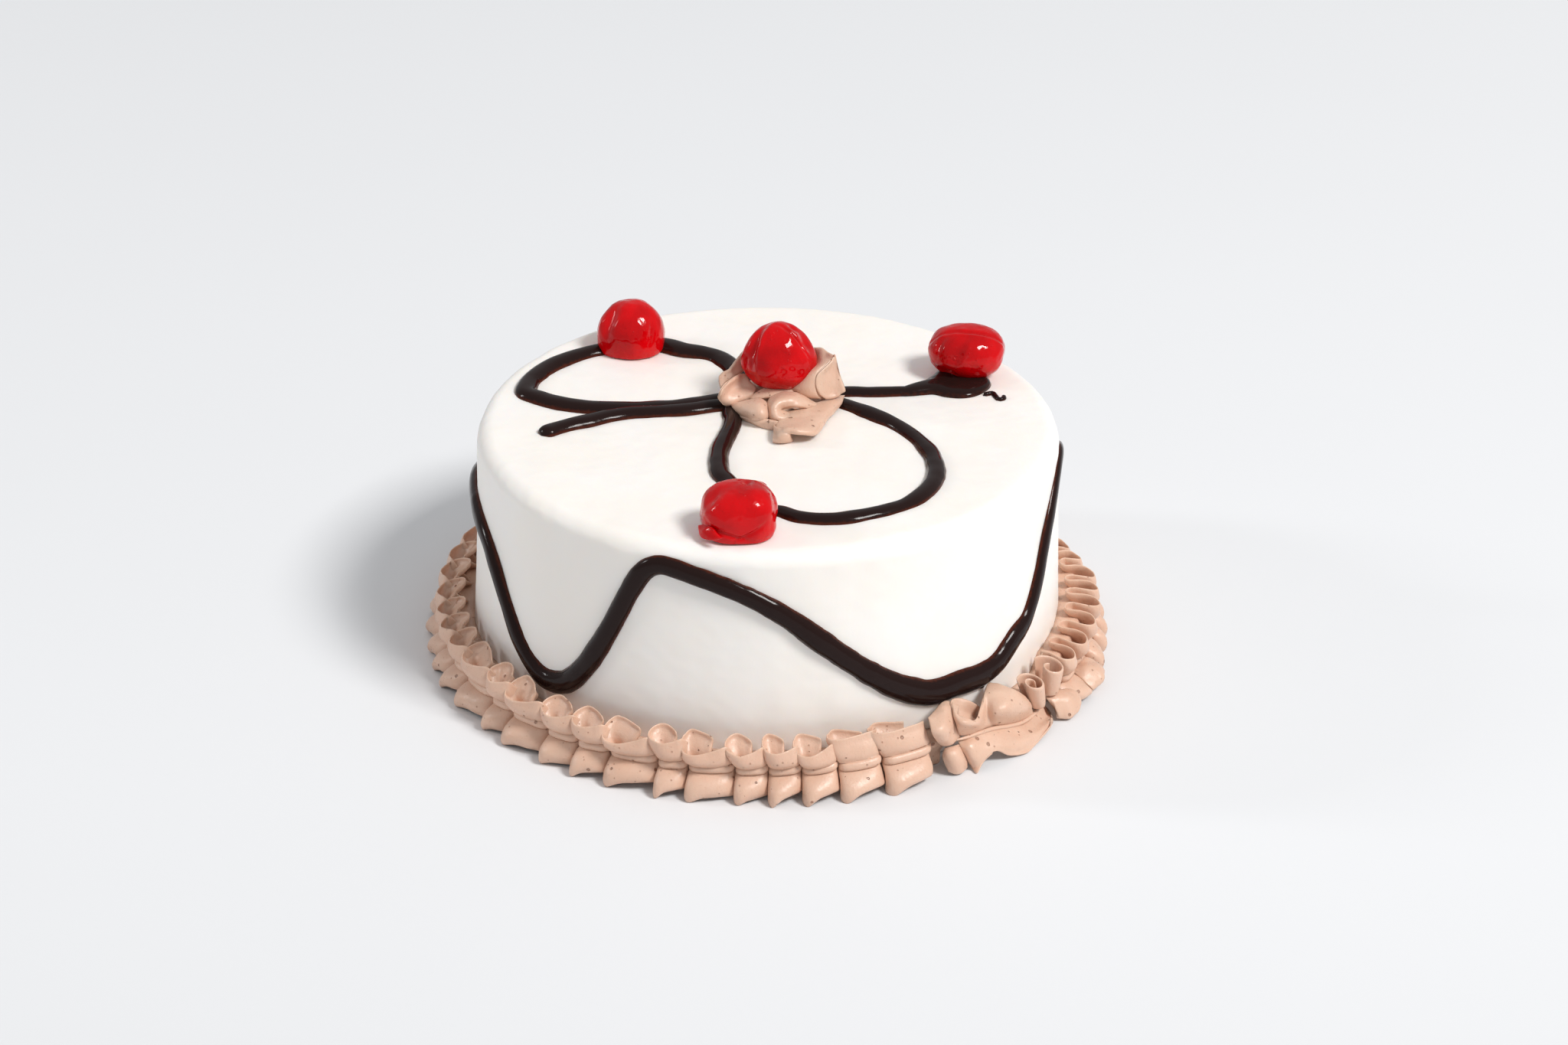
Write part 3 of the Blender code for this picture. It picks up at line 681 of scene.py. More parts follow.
# the plainer folds of the lip and the waist in the tight loops right of the join, and those rolls
LOOP_LIP = ((-0.14, 0.34, 0), (-0.17, 0.6, 0.1), (-0.13, 0.86, 0.35), (0.04, 1, 0.55), (0.26, 0.97, 0.45),
            (0.42, 0.82, 0.2), (0.47, 0.56, 0.05), (0.45, 0.34, 0), (0.46, 0.18, 0), (0.57, 0.1, 0),
            (0.74, 0.12, 0), (0.83, 0.2, 0))
LOOP_WAIST = ((0.06, 0.6, 0), (0.04, 0.78, 0), (0.09, 0.93, 0), (0.28, 1, 0), (0.52, 0.98, 0),
              (0.7, 0.86, 0), (0.76, 0.66, 0), (0.78, 0.5, 0), (0.82, 0.42, 0), (0.9, 0.38, 0),
              (0.98, 0.42, 0), (1.03, 0.5, 0))
LOOP_ROLLS = (17, 30)
# the angles in degrees between which the ruffle is slimmer, and by how much
SLIM_SPAN = (365, 425)
SLIM_DEPTH = 3.6
# height up the ruffle, radius of its front, half the thickness of the sheet
RUFFLE_PROFILE = ((0, 104.3, 0.2), (0.5, 104.5, 0.32), (1.2, 104.7, 0.42), (2.2, 104.8, 0.5),
                  (3.4, 104.5, 0.56), (4.6, 103.8, 0.6), (5.6, 102.6, 0.62), (6.4, 101.2, 0.65),
                  (7, 99.9, 0.68), (7.4, 99, 0.7), (7.7, 98.5, 0.72), (8, 98.8, 0.72), (8.3, 99.6, 0.72),
                  (8.7, 100.1, 0.72), (9.1, 100, 0.72), (9.6, 99.7, 0.72), (9.9, 99.2, 0.72),
                  (10.2, 99.2, 0.7), (10.7, 99.6, 0.66), (11.4, 100.5, 0.6), (12.3, 101.3, 0.54),
                  (13.3, 101.8, 0.48), (14.4, 102, 0.42), (15.5, 101.9, 0.36), (16.4, 101.8, 0.3),
                  (17.1, 101.7, 0.25), (17.6, 101.6, 0.18))
# the reach that the profile is drawn for
PROFILE_REACH = 105.0
# heights where the foot's fold ends, where the waist's ridge lies, and where the lip's fold comes in
FOOT_TOP = 7.7
WAIST_HEIGHT = 9.0
LIP_SPAN = (9.9, 16.4)
LIP_DROP = 2.7
# where the ruffle's foot is tucked in, to make room for the broken pieces beside the join
SHELF_ANGLE = 336.5
SHELF_DEPTH = 9.0
# radius and height round the cream that fills the ruffle behind its front, and the angles it spans
RUFFLE_CORE = ((89.5, 0.2), (94, 0.2), (94.6, 1), (94.8, 5), (96, 7), (96.6, 8.2), (96.5, 9.2), (95.8, 9.9),
               (94.6, 10.2), (92.8, 10.2), (91, 10), (89.2, 9.8))
CORE_SPAN = (-36, 302)
# how much higher it is inside the loops at the right
CORE_LIFT = 4.2


def roll_edges():
    """Angle in degrees of the left edge of every roll, once round from the first at the front left."""
    rng = np.random.default_rng(7)
    span = FRONT_ROLLS[0] + 360 - RESTART
    widths = rng.uniform(0.8, 1.2, round(span / BACK_ROLL_PITCH) + 2)
    widths[:TIGHT_ROLLS] *= TIGHT_SHARE
    after = RESTART + np.cumsum(widths * span / widths.sum())
    return np.concatenate([FRONT_ROLLS, JOIN_ROLLS, [RESTART], after])


def edge_angle(edges, place):
    """Angle in degrees at places counted in rolls, which may lie before the first roll or past the last."""
    rolls = len(edges) - 1
    knots = np.arange(-rolls, 3 * rolls)
    return np.interp(place, knots, edges[knots % rolls] + 360 * np.floor_divide(knots, rolls))


def fold_path(fold, place):
    """A Catmull-Rom curve through the repeated points of a fold, at places counted in rolls."""
    fold = np.array(fold)
    count = len(fold)
    along = place * count
    start = np.floor(along).astype(int)
    four = (fold[(start + k) % count] + np.floor_divide(start + k, count)[:, None] * (1, 0, 0)
            for k in (-1, 0, 1, 2))
    return catmull_rom(*four, (along - start)[:, None])


def roll_habits(place, edges):
    """How each roll differs from the next: six draws from -1 to 1, and its width as a share."""
    rolls = len(edges) - 1
    knots = np.arange(place[0] // 1 - 2, place[-1] // 1 + 3).astype(int)
    draws = np.random.default_rng(11).uniform(-1, 1, (6, rolls))[:, knots % rolls]
    widths = np.clip(np.diff(edges)[knots % rolls] / BACK_ROLL_PITCH, 0.7, 1.4)
    return [np.interp(place, knots + 0.2, row) for row in (*draws, widths)]


def roll_folds(place, coil, lean):
    """The folds of the lip, the waist and the foot at places counted in rolls."""
    lip, waist, foot = (fold_path(fold, place) for fold in (LIP_FOLD, WAIST_FOLD, FOOT_FOLD))
    first, last = LOOP_ROLLS
    loop = (between(place, first - 1, first) * between(place, last, last - 1))[:, None]
    lip += loop * (fold_path(LOOP_LIP, place) - lip)
    waist += loop * (fold_path(LOOP_WAIST, place) - waist)
    local = lip[:, 0] - np.floor(place)
    lip[:, 0] += 0.16 * (coil - 0.3) * np.clip(local - 1, 0, 1) / 0.7 + 0.05 * lean * np.clip(1 - local, 0, 1)
    foot[:, 1] = 1 - (1 - foot[:, 1]) * (1 + 0.25 * lean)
    return lip, waist, foot


def front_share(place, edges, shares):
    """Shares given roll by roll from the front left, and 1 past the last of them."""
    return np.interp(place % (len(edges) - 1), np.arange(len(shares)) + 0.3, shares, right=1.0)


def ruffle_sheet(first, last, sizes, stations=84):
    """The folded sheet between two rolls, as rings round its cross-section.

    Each height takes a blend of the folds of the foot, the waist and the lip, stretched between the
    radius beside the cake and the profile's radius at the front. The lip drops towards the front, and
    the sheet has a wall of half its thickness to each side.
    """
    edges = roll_edges()
    place = np.linspace(first, last, round((last - first) * stations) + 1)
    reach, coil, tall, drop, lean, lift, wide = roll_habits(place, edges)
    lip, waist, foot = roll_folds(place, coil, lean)
    z, outer, half = np.array(RUFFLE_PROFILE).T[..., None]
    up = between(z, *LIP_SPAN) ** (0.65 + 0.9 * (1 - lip[:, 1]))
    down = between(z, FOOT_TOP, 0) ** 0.8
    path = up[..., None] * lip + down[..., None] * foot + (1 - up - down)[..., None] * waist

    degrees = edge_angle(edges, path[..., 0])
    inner = CAKE_BOX[1][0] / MM + 1.2 - 0.03 * z
    front = outer + 0.5 * reach * (up - 0.4) + down * (0.5 * lift + sizes.ruffle_reach - PROFILE_REACH)
    radius = inner + path[..., 1] * (front - inner)
    fore = np.clip(path[..., 1] - 0.3, 0, 1)
    radius -= up * (1 - front_share(place, edges, FRONT_LIPS)) * fore * (front - inner)
    radius -= SHELF_DEPTH * between(np.abs(degrees % 360 - SHELF_ANGLE), 10, 5) ** 2 * down
    start, end = SLIM_SPAN
    slim = between(degrees, start, start + 8) * between(degrees, end, end - 20)
    radius -= SLIM_DEPTH * slim * (0.4 + 0.6 * up) * fore / 0.7

    fall = LIP_DROP * front_share(place, edges, FRONT_DROPS) * (1 + 0.15 * drop) * wide * lip[:, 2]
    top = sizes.ruffle_height - z[-1] + 0.7 * tall * wide - fall
    height = z + between(z, WAIST_HEIGHT, z[-1]) * top
    height += 1.1 * (path[..., 0] % 1 - 0.5) * np.exp(-((z - WAIST_HEIGHT) / 2.2) ** 2)
    height += between(z, 4, 0) * foot[:, 2] * (0.9 + 0.6 * lift)

    angle = np.radians(degrees)
    middle = round_axis(radius, angle, height)
    lumps = 0.14 * waves(middle, 17, 9) + 0.05 * waves(middle, 18, 3.5)
    middle += lumps[..., None] * round_axis(1.0, angle, 0.0)
    rise = np.gradient(middle, axis=0)
    wall = half[..., None] * unit(np.cross(np.gradient(middle, axis=1), rise))
    over = middle[-1:] + 0.22 * unit(rise[-1:])
    ring = np.concatenate([middle + wall, over, (middle - wall)[::-1]])
    ring[..., 2] = np.maximum(ring[..., 2], 0)
    return np.swapaxes(ring, 0, 1)


# where the ruffle's two ends meet: nets of angle in degrees, radius and height
JOIN_SHEETS = {
    "strap": (
        ((298.5, 96.9, 18.4), (300.7, 94.4, 18.4), (303.5, 91.9, 18.7), (305.1, 91.9, 18.3),
         (306.5, 93.6, 16.8)),
        ((298.1, 99.2, 17.5), (299.6, 98.6, 18), (301.7, 97, 18.5), (303.2, 95.7, 17.9), (305, 96, 16.2)),
        ((297.9, 101, 16), (299, 101.9, 16.7), (300.3, 101.5, 16.9), (301.8, 99.9, 16.3), (304, 97.9, 15)),
        ((299.1, 100, 12.4), (299.7, 101.5, 13.3), (300.9, 101.5, 13.2), (302.5, 99.8, 12.7),
         (304.6, 97.6, 12)),
        ((300.7, 99, 9.2), (301.3, 100, 9.4), (302.4, 100, 9.3), (303.8, 98.8, 9.3), (305.4, 97.4, 9.2)),
    ),
    "strap_foot": (
        ((301.4, 98.7, 7.9), (302, 99.5, 8.3), (303.1, 99.5, 8.2), (304.1, 99, 7.9)),
        ((300.7, 99.5, 6.2), (301.1, 101.5, 7.5), (302.6, 102, 7.5), (304.7, 100, 5.5)),
        ((301, 100, 3.4), (301.4, 102.5, 4.8), (302.8, 103, 4.7), (305.1, 101, 2.9)),
        ((301.2, 101.5, 1.5), (302.1, 102.5, 0.7), (303.3, 102.8, 0.5), (305.1, 101.5, 0.7)),
    ),
    "leaf": (
        ((304.7, 93.9, 19.2), (303.8, 97.9, 18), (304.7, 100.8, 17.1), (307.1, 100.5, 15.6),
         (314.2, 91.7, 17.8), (315.9, 92.3, 18.1), (317, 94.9, 17.5), (318.1, 97.5, 16.4),
         (320.4, 98, 12.8), (322.2, 98.5, 9.1)),
        ((303.1, 98.3, 17.6), (303.3, 101.3, 16.9), (304.6, 102.2, 16.1), (307.7, 100.5, 13.9),
         (311.7, 95.4, 16.5), (313.1, 96.9, 17.1), (314.6, 98.8, 16.9), (316.4, 100.2, 15.6),
         (319.2, 99.8, 12.3), (322, 99, 8.6)),
        ((303.1, 100, 15.1), (303.8, 100.5, 14.2), (305.7, 100.5, 13.1), (308.5, 99.5, 11.6),
         (311, 97.5, 12.8), (311.5, 100, 14.3), (313, 101.5, 14.5), (315.6, 101.5, 12.6),
         (318.8, 100.5, 10.1), (322.1, 99, 7)),
        ((304.1, 98.5, 11.5), (305, 98.6, 10.2), (307.1, 98.7, 9.6), (309.6, 98.6, 9.3), (311.3, 98.5, 8.9),
         (312.9, 98.6, 8.3), (315.1, 98.7, 7.1), (317.8, 98.7, 6), (320.4, 98.6, 5), (323.2, 98.3, 5)),
    ),
    "cup_back": (
        ((304.3, 94.3, 18.8), (305.6, 92.5, 18.9), (307.4, 92.2, 18.2), (309, 93.5, 17), (311.3, 94, 13.8)),
        ((303.4, 95.5, 15.7), (304.6, 94.2, 15.6), (305.9, 93.9, 15.2), (307.5, 94.3, 14),
         (310.1, 94.2, 11.4)),
        ((304, 98.2, 13.2), (304.9, 98, 13.1), (306.2, 98, 12.6), (307.8, 98, 11.7), (310.2, 97.5, 10.2)),
    ),
    "flap": (
        ((304.1, 98.6, 8.5), (305.9, 98.9, 8.9), (308.2, 98.9, 9.2), (311.6, 98.9, 8.6), (315.4, 98.9, 6.8),
         (319.6, 98.8, 4.6), (323.4, 98.2, 4.4), (327.3, 97, 4.9)),
        ((304.1, 100.5, 7.1), (305.3, 102, 8.2), (308.5, 101.2, 7.6), (311.8, 101.2, 7),
         (314.9, 101.5, 5.4), (318.5, 101.5, 4), (323.3, 100.5, 2.4), (328.1, 99, 2)),
        ((304.8, 101, 3.9), (305.3, 103.3, 5.5), (308, 103.2, 5.8), (311, 103.2, 5.5), (314.2, 104, 3.9),
         (317.2, 104.2, 3.2), (321.7, 103.2, 2.3), (326.1, 102, 2.4)),
        ((305.6, 101.5, 0.7), (305.9, 103.8, 2), (307.5, 104, 3.6), (310.1, 103.8, 4.7), (313, 104.6, 2.2),
         (316.4, 105, 1.1), (320.1, 104.5, 1.3), (324.7, 103.5, 2)),
        ((305.5, 102.8, 0.5), (305.5, 105.2, 0.5), (307.3, 104.2, 3.4), (309.8, 104, 4.4),
         (312.4, 105, 1.5), (315.5, 106.3, 0.6), (318.2, 105.5, 0.8), (323.1, 104.5, 3)),
    ),
    "ear": (
        ((338.4, 98.5, 6.5), (340.5, 98.2, 7.2), (342.5, 98.5, 7.2), (344, 99, 6.5)),
        ((337.6, 101.5, 5.6), (339.8, 102, 7), (342.3, 102, 7.2), (343.8, 101.5, 6)),
        ((337.3, 104.3, 4.2), (339.5, 105.3, 5.4), (341.8, 105.4, 5.9), (343.5, 104, 5)),
        ((337.6, 105.6, 2.4), (339.8, 107, 3.4), (342, 106.8, 4), (343.6, 105, 3.4)),
        ((338.2, 104, 0.8), (340, 104.8, 1.2), (342, 104.6, 1.6), (343.4, 103.2, 1.4)),
    ),
    "shelf": (
        ((331.5, 98.5, 6.8), (333.5, 98.6, 7.2), (335.5, 98.6, 7.2), (338, 98.6, 6.6)),
        ((331.9, 101, 5.6), (333.8, 101.6, 6), (335.8, 101.8, 5.9), (337.8, 101.5, 5.2)),
        ((332.6, 103.4, 3.8), (334.3, 104.2, 4.2), (336.2, 104.6, 3.9), (337.8, 104.2, 3.3)),
        ((333.2, 103.6, 1.6), (334.8, 105, 1.8), (336.6, 105.8, 1.8), (338, 105.4, 1.6)),
    ),
    "block": (
        ((326.9, 98.6, 7.2), (329, 98.9, 7.4), (331.2, 99.4, 7), (332.6, 100.6, 6.2)),
        ((327, 101, 6.3), (329.2, 102, 6.6), (331.6, 102.9, 6.2), (333.2, 103.6, 5.2)),
        ((327, 102.4, 3.8), (329.2, 104.4, 4.4), (331.2, 105.2, 4.2), (332.6, 105.4, 3.8)),
        ((327.2, 103, 1.4), (328.8, 105.2, 1.8), (330.6, 106, 2), (332, 105.8, 2.2)),
        ((327.2, 102.2, 0.9), (328.4, 104.4, 0.8), (330.2, 105.2, 0.8), (331.6, 105, 1)),
    ),
}
JOIN_RIDGE = ((303.2, 98.9, 9.6), (305.5, 99.4, 9.5), (308.3, 99.5, 9.4), (311.5, 99.5, 8.8),
              (315.3, 99.5, 7), (319, 99.5, 5.6), (323, 98.9, 5.2), (326, 98, 6.2), (328.2, 97.2, 8))
# the sheets of the join with a rough grain
ROUGH_SHEETS = ("ear", "shelf", "block")
# curls beside the join: rim and foot of the axis, radius, turns and the bearing where the spiral starts
JOIN_CURLS = (((77.6, -61.0, 16.7), (79.6, -58.2, 7.0), 4.5, 1.45, 20),
              ((83.6, -52.4, 17.4), (83.4, -52.2, 8.0), 5.2, 1.15, 100))


def curl(shells, top, foot, radius, turns, start, thickness=0.85, rows=30, columns=120):
    """A rolled sheet: a spiral in plan that narrows from its rim to its foot.

    Its distance from the axis is the radius times (0.2 + 0.8 s) times (0.65 + 0.35 t^0.7), with s along
    the spiral from its middle and t from the foot to the rim; the rim sinks by a quarter of the radius.
    """
    s = np.linspace(0, 1, columns)[:, None]
    t = np.linspace(1, 0, rows)[None, :]
    turn = math.radians(start) + turns * 2 * math.pi * s
    reach = radius * (0.2 + 0.8 * s) * (0.65 + 0.35 * t ** 0.7)
    axis = np.array(foot) + t[..., None] * (np.array(top) - foot)
    middle = axis + round_axis(reach, turn, 0.25 * t * reach * np.sin(turn - 1))
    normal = unit(np.cross(np.gradient(middle, axis=1), np.gradient(middle, axis=0)))
    rim = np.sqrt(1 - np.abs(2 * s - 1) ** 12) * np.sqrt(1 - np.abs(2 * t - 1) ** 12)
    shells.slab(middle, 0.5 * thickness * np.maximum(rim, 0.15)[..., None] * normal)


def from_round(net):
    """Points given as angle in degrees, radius and height turned into x, y and z."""
    angle, radius, z = np.moveaxis(np.array(net, float), -1, 0)
    return round_axis(radius, np.radians(angle), z)


def ruffle_core(shells):
    """The cream behind the sheet: an outline carried round, and fuller inside the loops at the right."""
    across, up = np.array(RUFFLE_CORE).T
    degrees = np.linspace(*CORE_SPAN, 500)[:, None]
    angle = np.radians(degrees)
    radius = across + 0.3 * np.sin(23 * angle) * (across > 92)
    lift = CORE_LIFT * between(degrees, -29, -25) * between(degrees, 60, 54)
    shells.tube(round_axis(radius, angle, up + lift * between(up, 8.2, 9.4)))


def ruffle_join(shells):
    """Where the ruffle's two ends meet: soft sheets, the ridge along them and two curls."""
    for name, net in JOIN_SHEETS.items():
        sheet(shells, from_round(net), 0.8, grain=0.3 if name in ROUGH_SHEETS else 0.12)
    ridge(shells, from_round(JOIN_RIDGE), 0.62)
    for facts in JOIN_CURLS:
        curl(shells, *facts)


class CAKE_OT_ruffle(bpy.types.Operator):
    """Add the ruffle: a folded sheet pinched at its waist, its fold in plan repeated round the cake"""

    bl_idname = "cake.ruffle"
    bl_label = "Ruffle"

    def execute(self, context):
        finish = cream_finish(context.scene.cake_colours.cream)
        rolls = len(roll_edges()) - 1
        restart = len(FRONT_ROLLS) + len(JOIN_ROLLS)
        third = (rolls + len(FRONT_ROLLS) - restart) // 3
        cuts = (restart - 0.34, restart + third + 0.62, restart + 2 * third + 0.62,
                rolls + len(FRONT_ROLLS) - 2 + 0.46)
        for name, first, last in zip(("ruffle_right", "ruffle_back", "ruffle_front"), cuts, cuts[1:]):
            shells = Shells()
            shells.tube(ruffle_sheet(first, last, context.scene.cake_sizes))
            wear(shells.object(name), finish, "cream", "ruffle_border")
        for name, build in (("ruffle_core", ruffle_core), ("ruffle_join", ruffle_join)):
            shells = Shells()
            build(shells)
            wear(shells.object(name), finish, "cream", "ruffle_border")
        return {"FINISHED"}


# rosette

ROSETTE_CENTRE = (4.5, 12.0)


def scoop(shells, spine, rho, start, sweep, thickness=1.5, rows=60, arc=44):
    """A curled sheet of cream: arcs of growing radius strung along a spine, with rounded rims.

    A point is the spine plus the radius times the turn about the spine, measured from straight up.
    """
    run = smooth_path(spine, 0.2)
    share = np.linspace(0, 1, rows)
    path = np.stack([np.interp(share, np.linspace(0, 1, len(run)), column) for column in run.T], axis=1)
    radius = np.interp(share, np.linspace(0, 1, len(rho)), rho)
    ahead = unit(np.gradient(path, axis=0))
    up = unit(np.array([0, 0, 1.0]) - ahead[:, 2:3] * ahead)
    side = np.cross(ahead, up)
    turn = np.radians(start + sweep * np.linspace(-0.5, 0.5, arc))[None, :, None]
    out = np.cos(turn) * up[:, None, :] + np.sin(turn) * side[:, None, :]
    middle = path[:, None, :] + radius[:, None, None] * out
    middle = middle + 0.25 * waves(middle, int(abs(start)) + 3, 8)[..., None] * out
    across = np.linspace(-1, 1, arc)[None, :, None]
    rim = np.sqrt(1 - np.abs(across) ** 8) * np.sqrt(1 - share[:, None, None] ** 14)
    shells.slab(middle, 0.5 * thickness * np.maximum(rim, 0.2) * out)


def mound(shells, sizes):
    """The rosette's low middle: rings whose radius falls as they rise, waved round the edge."""
    cx, cy = ROSETTE_CENTRE
    turn = circle(120)
    rise = np.array([0, 0.02, 0.12, 0.3, 0.5, 0.7, 0.85, 0.95, 1.0])[:, None]
    share = np.array([0.6, 0.96, 1.0, 0.98, 0.9, 0.74, 0.55, 0.3, 0.05])[:, None]
    wave = 1 + 0.04 * np.sin(5 * turn + 1) + 0.03 * np.sin(8 * turn)
    shells.tube(round_axis(share * wave, turn, 0.1 + 6.4 * rise) * (13, 12, 1) + (cx, cy + 2, sizes.height))


